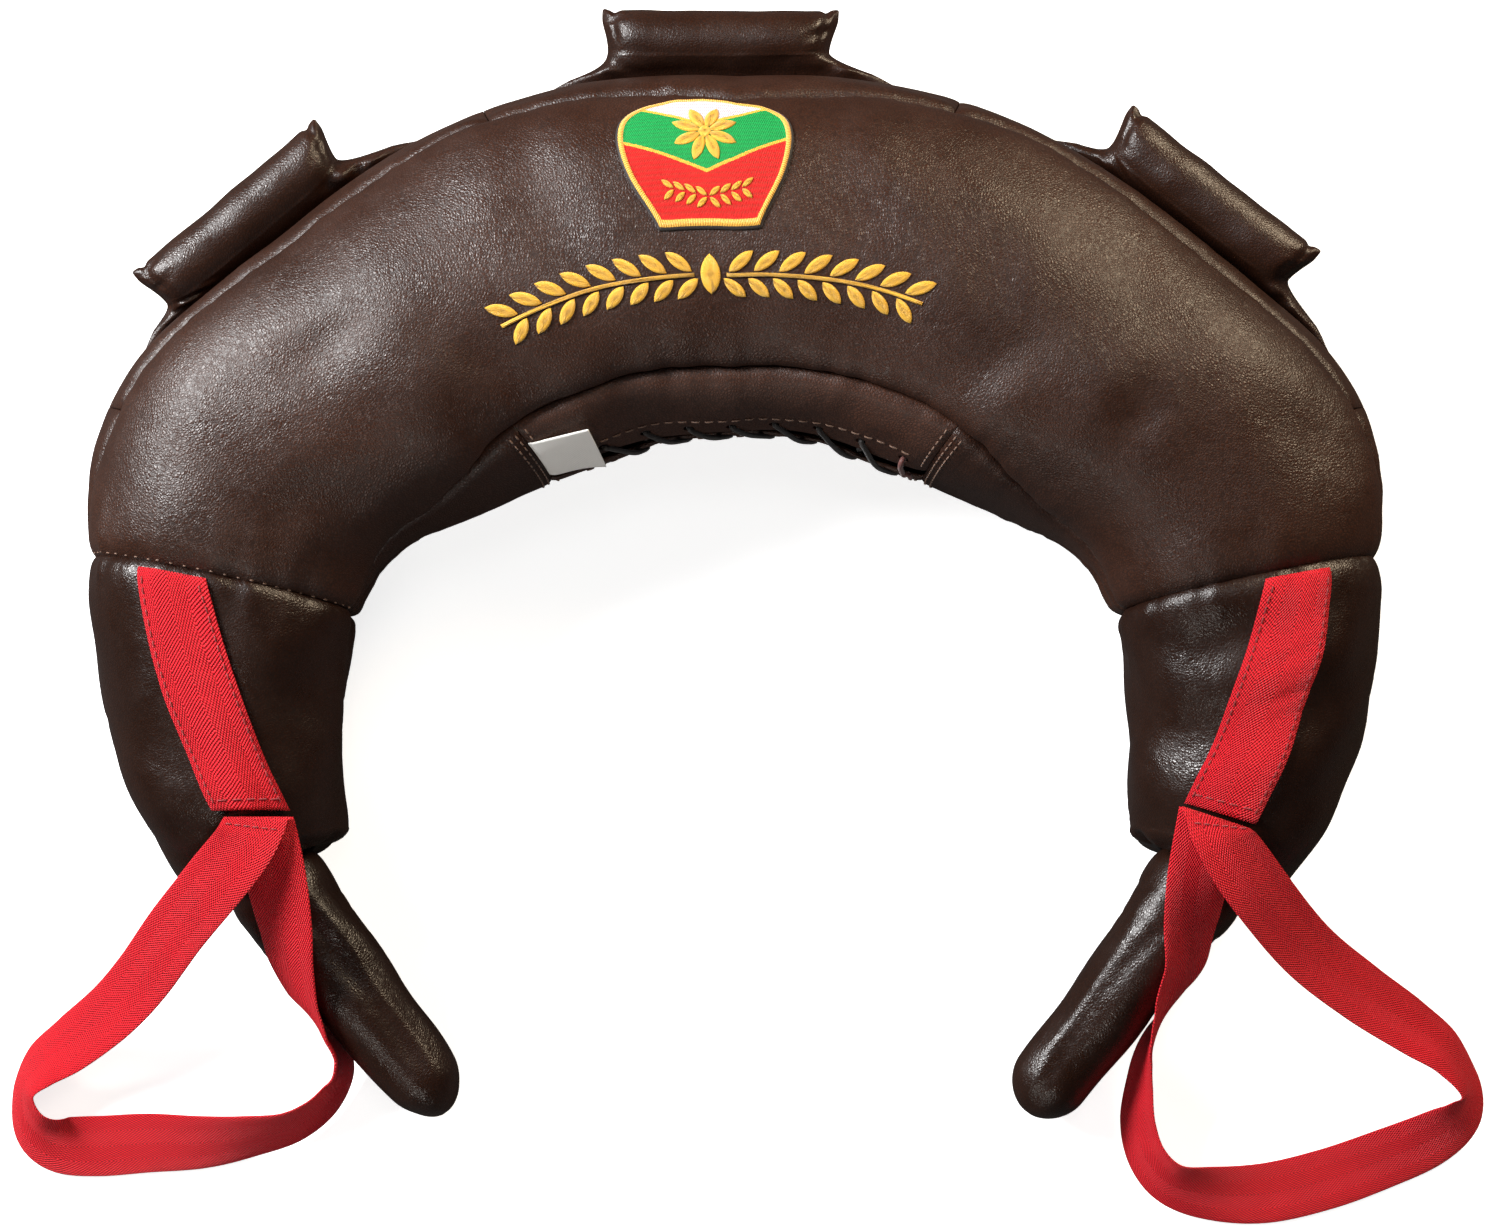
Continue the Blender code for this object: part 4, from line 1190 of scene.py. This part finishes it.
def build_loop(name, side, fold_slope, route_shares):
    lift = loop_root_lift + webbing_thickness + (webbing_thickness + loop_ply_gap) / 2
    root = skin(loop_root_angle, loop_root_turn, -lift)
    top = root[2] + (webbing_thickness + loop_ply_gap) / 2
    floor = loop_floor_gap + webbing_thickness / 2
    route = [(number, *row) for number, row in enumerate(route_shares)]
    last = len(route) - 1.0
    fold_way = np.array((-1.0, -math.tan(math.radians(fold_slope)), 0.0))

    def middle(at):
        outward, downward, height, tilt = read(route, at)
        edge = webbing_width / 2 * np.sin(np.radians(np.clip(tilt, 0.0, 180.0)))
        rise = floor + edge + height * (top - floor)
        return np.stack([outward * loop_size, downward * loop_size, rise], -1), tilt

    def place(at, across, off):
        at, across, off = np.broadcast_arrays(at, across, off)
        point, tilt = middle(at)
        heading = middle(at + 0.05)[0] - middle(at - 0.05)[0]
        flat = unit(np.stack([-heading[..., 1], heading[..., 0], 0 * heading[..., 0]], -1))
        tilt = np.radians(tilt)[..., None]
        width = flat * np.cos(tilt) + up * np.sin(tilt)
        lengthwise = (width * heading).sum(-1) / (heading**2).sum(-1)
        width = unit(width - heading * lengthwise[..., None])
        from_fold = np.clip(1 - np.minimum(at, last - at) / 2, 0.0, 1.0)[..., None] ** 2
        width = width + (fold_way - width) * from_fold
        normal = unit(np.cross(heading, width))
        point = point + width * (across * webbing_width)[..., None] + normal * off[..., None]
        point = point * np.array((side, -1.0, 1.0))
        return point + np.array((root[0] * side, root[1], 0.0)) + frame_shift

    body = f"{name}_loop"
    webbing(f"{name}_hand_loop", place, np.linspace(0, last, 190)[:, None], 0.0, body)
    row = cross_row(place, 0.35, 0.42, webbing_thickness / 2)
    sew(f"{name}_loop_stitches", row, red_thread_radius, red_thread, body)


# Grips


def edge_frame(angle):
    """The crescent's outer edge in plan: a point, the way along it and the way out of it."""
    along = unit(skin(angle + 0.5, 90.0) - skin(angle - 0.5, 90.0))
    return skin(angle, 90.0), along, np.cross(up, along)


# The roll's soft ends: share of its half length, then half thickness, half height and rise in
# roll radii
soft_roll_shares = (
    (0.00, 1.00, 1.00, 0.00),
    (0.50, 1.00, 1.00, 0.00),
    (0.74, 0.95, 0.99, 0.02),
    (0.87, 0.80, 0.97, 0.05),
    (0.94, 0.54, 0.95, 0.09),
    (0.98, 0.28, 0.94, 0.11),
    (1.00, 0.15, 0.93, 0.12),
)


grip_radius = roll_diameter / 2 + 0.0006
grip_half = roll_length / 2 + 0.0020
# Half lengths of the web at its top and at its flared foot
neck_half, flare_half = grip_half - 0.0034, 0.096
web_radius = leather + web_ply_gap / 2
# The angle round the roll at which the web joins it
join = math.radians(120)
# The plies' half gap from the fold's middle: least, and inside at the flared foot
ply_least, inner_least = 0.00045, 0.00015


def build_grip(name, angle, lean, seed, shift, skew):
    """A grip: its angle and lean in degrees, its shift along the edge and its skew."""
    middle, along, outward = edge_frame(angle)
    pivot = middle + outward * (web_radius + seam_gap) + frame_shift
    lean_cos, lean_sin = compass(lean)
    search = skin(np.linspace(angle - 40, angle + 40, 400), 90.0) - middle
    reach_of, depth_of = search @ along, -(search @ outward)

    def at(reach, stand, belly):
        """Reach, way out and height of a place along, up and square to the grip's plane."""
        return reach, stand * lean_cos - belly * lean_sin, stand * lean_sin + belly * lean_cos

    def points(reach, out, height):
        return pivot + reach[..., None] * along + out[..., None] * outward + height[..., None] * up

    # Rows run from the upper ply's foot, at 0, up the web, from 1 round the roll to its top, at 2,
    # and down again
    levels = np.concatenate([np.linspace(0, 1, 17)[:-1], 1 + np.linspace(0, 1, 26)])
    sides = np.concatenate([np.ones(len(levels)), -np.ones(len(levels) - 1)])[:, None]
    levels = np.concatenate([levels, levels[::-1][1:]])[:, None]
    shares = np.linspace(-1, 1, 121)
    shares = (np.sin(shares * math.pi / 2) * 0.6 + shares * 0.4)[None, :]

    def surface_of(inset):
        s, level, side = np.broadcast_arrays(shares, levels, sides)
        away = np.abs(s)
        on_web = level < 1
        web_share = np.clip(level, 0, 1)
        thick, high, rise = read(soft_roll_shares, away)
        half_thick = np.maximum(grip_radius * thick - inset, 0.0003)
        half_high = grip_radius * high - inset
        centre = roll_stand + grip_radius * rise
        theta = join * (2 - np.clip(level, 1, 2))
        flared = neck_half + (flare_half - neck_half) * (1 - web_share**0.75) ** 2.1
        eared = neck_half + (grip_half - neck_half) * ease((level - 1) * 1.5)
        eared = eared - 0.0008 * ease((level - 1.8) / 0.2)
        reach = s * np.where(on_web, flared, eared)
        beyond = ease((np.abs(reach) - grip_half) / (flare_half - grip_half))
        foot = (web_radius - ply_least) * (1 - beyond) + ply_least
        if inset:
            foot = inner_least + (foot - ply_least) * inner_least / (web_radius - ply_least)
        lower = centre + (grip_radius * high) * math.cos(join)
        wide = half_thick * math.sin(join)
        ply = foot + (wide - foot) * web_share**0.7 * (1 - beyond)
        belly = np.where(on_web, ply, half_thick * np.sin(theta))
        stand = np.where(on_web, lower * web_share, centre + half_high * np.cos(theta))
        # Folds of the web fan out from the ears to the foot; the two plies meet at their edges
        fan = ripple(reach * (1 - 0.25 * web_share), seed, 0.008, 0.02)
        fold = 0.0015 * fan * np.sin(math.pi * web_share) * ease((away - 0.35) / 0.4) * (1 - beyond)
        fold = fold * ease((0.99 - away) / 0.16)
        # The roll is pinched near its ends, creased beyond and slightly uneven between
        pinch = 0.0016 * hump(away - 0.90, 0.035) * ease((level - 1.0) / 0.35)
        waist = ripple(reach + theta * 0.004 * side, seed + 3, 0.02, 0.05)
        waist = waist * ease((level - 0.8) / 0.5) * (1 - away**4)
        crease = np.clip(ripple(reach * 0.3 + theta * 0.012 * side, seed + 5, 0.008, 0.016), 0, 2)
        crease = crease * ease((away - 0.66) / 0.22) * ease((0.99 - away) / 0.04)
        crease = crease * ease((level - 0.8) / 0.4)
        squeeze = pinch + 0.0009 * crease - 0.0003 * waist + 0.0004
        squeeze = np.minimum(squeeze, np.maximum(half_thick - 0.0005, 0))
        sideways = np.sin(np.minimum(theta, math.pi / 2)) ** 2
        belly = belly + np.where(on_web, fold, -squeeze * sideways)
        stand = stand - np.where(on_web, 0, squeeze * np.cos(theta) * 0.8)
        reach, out, height = at(reach, stand, side * belly)
        # The foot follows the crescent's edge, which falls away to both sides
        fall = -np.interp(reach, reach_of, depth_of)
        out = out + np.where(on_web, fall * (1 - web_share**2), 0)
        seat = fall - web_radius - 0.0003
        root = ease(web_share / 0.25)
        out = seat + (np.maximum(out, seat) - seat) * root
        height = side * foot + (height - side * foot) * root
        lifted = ease(level)
        return points(reach + shift * lifted, out + skew * reach * lifted, height)

    piece = slab(f"{name}_handle_cover", surface_of(0.0), surface_of(leather))
    dress(piece, grip_leather, f"{name}_handle_cover", body=None)
    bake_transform(piece)

    share = np.linspace(-0.9, 0.9, 41)[:, None]
    spin = np.linspace(0, 2 * math.pi, 28, endpoint=False)[None, :]
    thick, high, rise = read(soft_roll_shares, np.abs(share))
    slack = leather + 0.0032
    stand = roll_stand + grip_radius * rise + (grip_radius * high - slack) * np.cos(spin)
    belly = (grip_radius * thick - slack) * np.sin(spin)
    reach, out, height = at(*np.broadcast_arrays(share * grip_half, stand, belly))
    core = closed_rings("core", points(reach + shift, out + skew * reach, height))
    dress(core, foam, f"{name}_handle_core", body=f"{name}_grip", slot="foam")


# Patch, ornament and label


def on_crown(across, outward, lift):
    """Points on the crown from a place in plan: metres across and outward of the patch's middle."""
    angles = patch_angle + angle_of(across + patch_shift, patch_angle, patch_turn)
    return surface(angles, patch_turn + turn_of(outward, patch_angle), lift)


# The patch's outline from its top middle round its right side to its bottom middle, in metres
patch_edge = (
    (0.0000, 0.0273),
    (0.0100, 0.0267),
    (0.0192, 0.0247),
    (0.0280, 0.0212),
    (0.0345, 0.0155),
    (0.0377, 0.0065),
    (0.0381, -0.0035),
    (0.0365, -0.0130),
    (0.0338, -0.0198),
    (0.0302, -0.0262),
    (0.0270, -0.0312),
    (0.0250, -0.0325),
    (0.0120, -0.0326),
    (0.0000, -0.0326),
)


def field_material(name):
    """The patch's stitched ground: a pale top, then green and red, parted by gold chevrons."""
    n = Nodes(name, (0.01, 0.30, 0.09), 0.7, specular=0.15)
    across, upward, _ = n.split(n.uv)
    chevron = n.math("SUBTRACT", upward, n.times(n.math("ABSOLUTE", across), 0.42))
    fine = n.noise(n.place, 1500.0, 2.0)
    edge = n.plus(chevron, n.math("SUBTRACT", fine, 0.5), 0.0009)
    rows = n.sine(n.plus(across, upward, 0.35), 0.0008)
    stitch = n.spread(n.plus(rows, n.sine(upward, 0.0021), 0.5), -1.5, 1.5)
    tone = (0.62, 0.55, 0.62)
    gold, green, red = (0.78, 0.42, 0.05), (0.002, 0.27, 0.060), (0.52, 0.006, 0.008)
    for below, colour in ((0.0105, gold), (0.0090, green), (-0.0115, gold), (-0.0130, red)):
        tone = n.mix(n.math("LESS_THAN", edge, below), tone, colour)
    tone = n.mix(n.spread(stitch, 0.0, 0.55, 0.55, 0.0), tone, (0.03, 0.05, 0.02))
    normal = n.bump(n.math("ADD", stitch, fine), 0.00035, 0.8)
    return n.finish(tone, n.spread(fine, 0.3, 0.7, 0.55, 0.7), normal)


def raised_shape(edge, height, lift, place):
    """A raised stitched shape from its edge points: rings of points and their UV."""
    edge = np.asarray(edge, float)
    middle = edge.mean(0)
    run = travel(np.vstack([edge, edge[:1]]))[:-1]
    rings, coordinates = [], []
    rises = (-0.0004, 0.35 * height, 0.75 * height, height, height)
    for share, rise in zip((1.0, 1.0, 0.9, 0.6, 0.25), rises):
        spots = middle + (edge - middle) * share
        rings.append(place(spots[:, 0], spots[:, 1], lift + rise))
        coordinates.append(np.stack([np.full(len(edge), share), run], -1))
    return np.array(rings), np.array(coordinates)


def build_patch():
    """One closed piece: stitched field, satin border from its row and dark rim from its row."""
    table = [(number, *spot) for number, spot in enumerate(patch_edge)]
    x, y = read(table, np.linspace(0, len(table) - 1, 66))
    edge = np.concatenate([np.stack([x, y], -1), np.stack([-x, y], -1)[::-1][1:-1]])
    shares = (0.04, 0.2, 0.4, 0.6, 0.75, 0.88, 0.915, 0.922, 0.935, 0.95, 0.965, 0.972, 0.985, 1.0)
    shares = np.array(shares)
    border_row, rim_row, last_row = 6, 11, 16
    border = np.clip((shares - shares[border_row]) / 0.055, 0, 1)
    lift = patch_lift + 0.0006 * np.sin(math.pi * border) ** 0.6 * (border > 0)
    lift[-2:] = patch_lift - 0.0002, patch_lift - 0.0008
    grid = edge[None, :, :] * shares[:, None, None]
    outer = on_crown(grid[..., 0], grid[..., 1], lift[:, None])
    inner = on_crown(grid[..., 0], grid[..., 1], np.full((len(shares), 1), trim_gap * 0.5))
    uv = np.concatenate([grid, grid[::-1]])
    field = closed_rings("front_patch", np.concatenate([outer, inner[::-1]]), uv)
    dress(field, field_material("patch_field"), "front_patch", slot="patch_cloth")
    field.data.materials.append(gold_border)
    field.data.materials.append(black_lace)
    run = travel(np.vstack([edge, edge[:1]]))[:-1]
    sides = len(edge)
    layer = field.data.uv_layers["weave"]
    for polygon in field.data.polygons:
        rows = {vertex // sides for vertex in polygon.vertices}
        if min(rows) >= rim_row and max(rows) <= last_row:
            polygon.material_index = 2
        elif min(rows) >= border_row and max(rows) <= rim_row:
            polygon.material_index = 1
            wraps = {0, sides - 1} <= {vertex % sides for vertex in polygon.vertices}
            for loop in polygon.loop_indices:
                column = field.data.loops[loop].vertex_index % sides
                along = run[-1] + run[1] if wraps and column == 0 else run[column]
                layer.data[loop].uv = (0.0, along)


def leaf(x, y, bearing, length, width, count=18):
    """Edge points of a pointed leaf, from its middle and its bearing in degrees."""
    t = np.linspace(-1, 1, count // 2 + 1)
    half = width / 2 * (1 - np.abs(t) ** 2.2) ** 0.9
    one = np.stack([t * length / 2, half], -1)
    two = np.stack([t[::-1] * length / 2, -half[::-1]], -1)[1:-1]
    c, s = compass(bearing)
    return np.concatenate([one, two]) @ np.array(((c, s), (-s, c))) + np.array((x, y))


def stitched_group(name, edges, height, lift, place):
    """Several raised shapes in gold thread as one piece."""
    shapes = [raised_shape(edge, height, lift, place) for edge in edges]
    piece = joined_tubes(name, [rings for rings, _ in shapes], [uv for _, uv in shapes])
    dress(piece, gold_satin, slot=None)


def build_ornament():
    """A running spray of leaves in gold thread along the crown, mirrored about its middle."""
    middle_angle, middle_turn, radius = -3.6, -14.0, 0.175
    half_run, spacing, stem_half = 0.088, 0.0108, 0.0008

    def place(x, y, lift):
        angle = middle_angle + np.degrees(x / radius)
        return surface(angle, middle_turn + turn_of(y, middle_angle), lift)

    edges = [leaf(0.0, 0.0, 90, 0.0165, 0.0085)]
    for side in (-1, 1):
        for number in range(1, int(half_run / spacing) + 1):
            x = side * (number * spacing + 0.001)
            for over in (-1, 1):
                slant = side * over
                edges.append(leaf(x + slant * 0.0012, over * 0.0054, slant * 38, 0.0128, 0.0050))
        stem = np.linspace(0.007, half_run + 0.004, 60) * side
        stem = np.stack([stem, np.full(len(stem), stem_half)], -1)
        edges.append(np.concatenate([stem, stem[::-1] * (1, -1)]))
    stitched_group("crown_ornament", edges, 0.0010, 0.0001, place)


def build_emblem():
    """A plain eight-petalled rosette on the patch, with a small spray of leaves under it."""
    reach, middle = 0.0082, 0.0058
    edges = []
    for number in range(8):
        bearing = 45 * number + 22.5
        c, s = compass(bearing)
        edges.append(leaf(c * reach, s * reach + middle, bearing, 0.0125, 0.0050))
    edges.append(leaf(0.0, middle, 0.0, 0.0058, 0.0058, 24))
    for side in (-1, 1):
        for number in range(4):
            x = side * (0.0032 + 0.0052 * number)
            for over in (-1, 1):
                y = -0.0225 + 0.0011 * number + over * 0.0021
                edges.append(leaf(x, y, side * over * 34, 0.0062, 0.0022))
    stitched_group("patch_rosette", edges, 0.0008, patch_lift, on_crown)


def build_label():
    first = -closure_half_angle
    last = lace_first_angle - angle_of(lace_diameter / 2 + label_free_gap, lace_first_angle, -90.0)
    shares = np.linspace(0, 1, 26)[:, None]
    turns = label_first_turn + (label_last_turn - label_first_turn) * shares
    turns, angles = np.broadcast_arrays(turns, np.linspace(first, last, 30)[None, :])
    run = (angles - first) / (last - first)
    wave = 0.0007 * np.sin(run * 3.1 + shares * 4.0) * run
    lift = trim_gap + (label_lift - trim_gap) * run**1.6 + wave + relief(angles, turns) * (1 - run)
    piece = sheet_between("care_label", angles, turns, -(lift + label_sheet), -lift)
    dress(piece, white_cloth, "care_label", slot="label_cloth")
    outer = skin(angles, turns, -(lift + label_sheet))
    rows, cells = turns.shape
    flat = (float(travel(outer[rows // 2])[-1]), float(travel(outer[:, cells // 2])[-1]))


def build_stitching():
    """Rows of thread that show on the leather."""
    paths = []

    def row(angles, turns, length, gap, height):
        place, total = line_on_skin(*np.broadcast_arrays(angles, turns))
        paths.extend(stitch_row(place, 0.002, total - 0.002, length, gap, height))

    # Both rows along the closure, beside the lace holes
    crown = np.linspace(-35.5, 38.5, 40)
    beyond_holes = hole_turn(crown) + 5.5
    row(crown, -90 + beyond_holes, 0.0042, 0.0016, 0.0004)
    row(crown[::-1], -90 - beyond_holes, 0.0042, 0.0016, 0.0004)
    # Three rows across at each end of it, of which the flaps' own leave their middle free
    for side in (-1, 1):
        for off in (-2.1, -0.9, 1.1):
            angle = side * (closure_half_angle - off)
            turns = np.linspace(inner_seam(angle) - 1.5, back_inner_seam(angle) + 2, 30)
            parts = (turns[:13], turns[-13:]) if off > 0 else (turns,)
            for part in parts:
                row(angle, part, 0.0024, 0.0016, 0.0003)
    # Dots of thread that show in the left arm's cross seam
    turns = np.linspace(inner_seam(arm_seam_angle) + 4, outer_seam(arm_seam_angle) - 4, 40)
    row(0.35 - arm_seam_angle, turns, 0.0014, 0.0046, 0.0)
    brown_thread_radius = 0.00036
    sew("leather_stitching", paths, brown_thread_radius, brown_thread)


# Fillings


def closure_dip(angle, turn):
    """How much deeper the wool lies behind the laced opening."""
    reach = hole_turn(angle) + 2 * flap_reach_turn
    away = np.abs(wrap(turn + 90))
    across = ease((reach + flap_reach_turn * 3 - away) / (flap_reach_turn * 3))
    along = ease((closure_half_angle + 2 * flap_reach_turn - np.abs(angle)) / flap_reach_turn)
    return guard_depth * across * along


def settled(depth_at, first, second, first_step, second_step):
    """The lowest that a relief lies within a step of each point, for what is packed under it."""
    firsts = [first + step * first_step for step in (-1, 0, 1)]
    seconds = [second + step * second_step for step in (-1, 0, 1)]
    low = [depth_at(one, two) for one in firsts for two in seconds]
    return np.minimum(np.min(low, axis=0), 0)


def build_wool(wool):
    """The wool that lines the crescent, in three lengths."""
    outside = leather + filling_gap
    inside = outside + wool_thickness
    end = math.degrees(bag_end_gap / 2 / collar_radius)
    cuts = (-arm_seam_angle, -closure_half_angle, closure_half_angle, arm_seam_angle)
    for name, first, last in zip(("left", "crown", "right"), cuts, cuts[1:]):
        angles = np.linspace(first + end, last - end, int(last - first))[:, None]
        angles, turns = np.broadcast_arrays(angles, round_turns(90))
        low = settled(relief, angles, turns, 1.5, 4.0)
        tufts = np.clip((1 + swell(skin(angles, turns), 71, 0.012, 0.03)) * 0.0003, 0, 1)
        outer = outside + closure_dip(angles, turns) - low + tufts
        piece = sheet_between("wool", angles, turns, outer, inside, ring=True)
        dress(piece, wool, f"wool_{name}", slot="wool")


def build_stuffing(name, side, wool):
    """The stuffing of an arm, with a cup for the horn's ball, and that of its horn."""
    inset = leather + filling_gap
    start = math.degrees(bag_end_gap / (2 * collar_radius)) / (arm_lobe_angle - arm_seam_angle)
    along = np.concatenate([np.linspace(start, 1.0, 24), np.linspace(1.0, 1.7, 11)[1:]])[:, None]
    along, turns = np.broadcast_arrays(along, round_turns(72))
    low = settled(lambda one, two: arm_relief(one, two, side), along, turns, 0.04, 5.0)
    arm = closed_rings("stuffing", beside(arm_skin(along, turns, inset - low), side))
    cup = bmesh.new()
    radius = ball_radius + 2 * horn_ball_gap
    bmesh.ops.create_uvsphere(cup, u_segments=48, v_segments=24, radius=radius)
    tool = from_shape("cup", cup)
    tool.location = beside(horn_root, side)
    cut_holes(arm, tool)
    dress(arm, wool, f"{name}_arm_stuffing", slot="wool")
    inset = leather + trim_gap
    last = horn_length - inset - horn_tip_flat / 4
    reaches = (horn_mouth + (last - horn_mouth) * np.sin(np.linspace(0, math.pi / 2, 40)))[:, None]
    horn = closed_rings("stuffing", horn_point(reaches, round_turns(48), inset, side))
    dress(horn, wool, f"{name}_horn_stuffing", body=f"{name}_horn", slot="wool")


def paint_sand_bags(canvas):
    """Gives the sand bags, which stay as in the CAD, their own finish."""
    for name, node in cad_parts.items():
        if "sand_bag" in name and not node.hide_render:
            node.data.materials.clear()
            node.data.materials.append(canvas)


# Stage, light and camera


def shown_by_ray(tree, shown, ray, other):
    """The shader shown, or the other for one kind of ray."""
    mix = tree.nodes.new("ShaderNodeMixShader")
    paths = tree.nodes.new("ShaderNodeLightPath")
    for source, socket in zip((paths.outputs[ray], shown, other), mix.inputs):
        tree.links.new(source, socket)
    return mix.outputs[0]


def coloured(tree, kind, tone):
    node = tree.nodes.new(f"ShaderNode{kind}")
    node.inputs["Color"].default_value = (*tone, 1)
    return node


def build_stage():
    shape = bmesh.new()
    bmesh.ops.create_grid(shape, x_segments=2, y_segments=2, size=6.0)
    floor = from_shape("floor", shape)
    floor.location.z = -0.0004
    material, shader = new_material("pale_floor", (0.80, 0.80, 0.80), 0.9, specular=0.1)
    tree = material.node_tree
    glow = coloured(tree, "Emission", (1, 1, 1))
    glow.inputs["Strength"].default_value = 0.78
    total = tree.nodes.new("ShaderNodeAddShader")
    tree.links.new(shader.outputs[0], total.inputs[0])
    tree.links.new(glow.outputs[0], total.inputs[1])
    shown = total.outputs[0]
    for ray, tone in (("Is Diffuse Ray", 0.45), ("Is Glossy Ray", 0.05)):
        plain = coloured(tree, "BsdfDiffuse", (tone, tone, tone))
        shown = shown_by_ray(tree, shown, ray, plain.outputs[0])
    tree.links.new(shown, tree.nodes["Material Output"].inputs["Surface"])
    floor.data.materials.append(material)

    world = bpy.data.worlds.new("studio")
    bpy.context.scene.world = world
    world.use_nodes = True
    tree = world.node_tree
    fill = tree.nodes["Background"]
    fill.inputs["Color"].default_value = (0.07, 0.07, 0.073, 1)
    shown = fill.outputs[0]
    for ray, tone in (("Is Glossy Ray", (0.02, 0.02, 0.022)), ("Is Camera Ray", (1, 1, 1))):
        shown = shown_by_ray(tree, shown, ray, coloured(tree, "Background", tone).outputs[0])
    tree.links.new(shown, tree.nodes["World Output"].inputs["Surface"])


def area_light(name, place, target, size, power, colour=(1, 1, 1)):
    data = bpy.data.lights.new(name, "AREA")
    data.shape = "RECTANGLE"
    data.size, data.size_y = size
    data.energy = power
    data.color = colour
    lamp = add_object(name, data)
    lamp.location = place
    lamp.rotation_mode = "QUATERNION"
    lamp.rotation_quaternion = (Vector(target) - Vector(place)).to_track_quat("-Z", "Y")


def build_lights():
    area_light("key", (-1.50, 0.78, 1.38), (-0.10, 0.05, 0.06), (0.85, 0.6), 108.0)
    area_light("overhead", (0.10, 0.45, 2.2), (0.05, 0.0, 0.06), (0.5, 0.5), 3.0)
    area_light("rim", (1.25, 1.10, 0.95), (0.12, 0.08, 0.06), (0.5, 0.9), 34.0, (1.0, 0.80, 0.56))
    area_light("low", (-0.35, -1.45, 1.0), (0.05, 0.05, 0.06), (0.7, 0.3), 6.5, (1.0, 0.95, 0.88))


def build_camera():
    elevation, distance = math.radians(84.0), 1.45
    target = np.array((0.00104, -0.00249, 0.070))
    data = bpy.data.cameras.new("camera")
    data.lens = 77.3
    data.sensor_width = 36.0
    camera = add_object("camera", data)
    camera.location = target + distance * np.array((0.0, -math.cos(elevation), math.sin(elevation)))
    camera.rotation_euler = (math.radians(90) - elevation, 0.0, 0.0)
    bpy.context.scene.camera = camera


build_camera()
bpy.context.scene.view_settings.view_transform = "Standard"
build_stage()
build_lights()
build_lace()
build_panels()
for side_name, side_sign, slope, loop_shares in (
    ("left", -1, 0.0, left_loop_shares),
    ("right", 1, 18.0, right_loop_shares),
):
    build_arm(side_name, side_sign)
    build_horn(side_name, side_sign)
    build_strap(side_name, side_sign, slope)
    build_loop(side_name, side_sign, slope, loop_shares)
for grip_name, grip_angle, lean, seed, shift, skew in (
    ("top", top_handle_angle, 8.0, 61, -0.0022, 0.05),
    ("left", -side_handle_angle, 24.0, 62, -0.0070, 0.03),
    ("right", side_handle_angle, 26.0, 63, -0.0060, 0.01),
):
    build_grip(grip_name, grip_angle, lean, seed, shift, skew)
build_patch()
build_emblem()
build_ornament()
build_label()
build_stitching()
build_wool(wool_material("cream_wool", (0.70, 0.63, 0.50)))
loose_wool = wool_material("loose_wool", (0.66, 0.59, 0.46), 120.0)
for side_name, side_sign in (("left", -1), ("right", 1)):
    build_stuffing(side_name, side_sign, loose_wool)
paint_sand_bags(cloth_material("bag_canvas", (0.10, 0.13, 0.20), 0.0011, 0.2, 0.85))
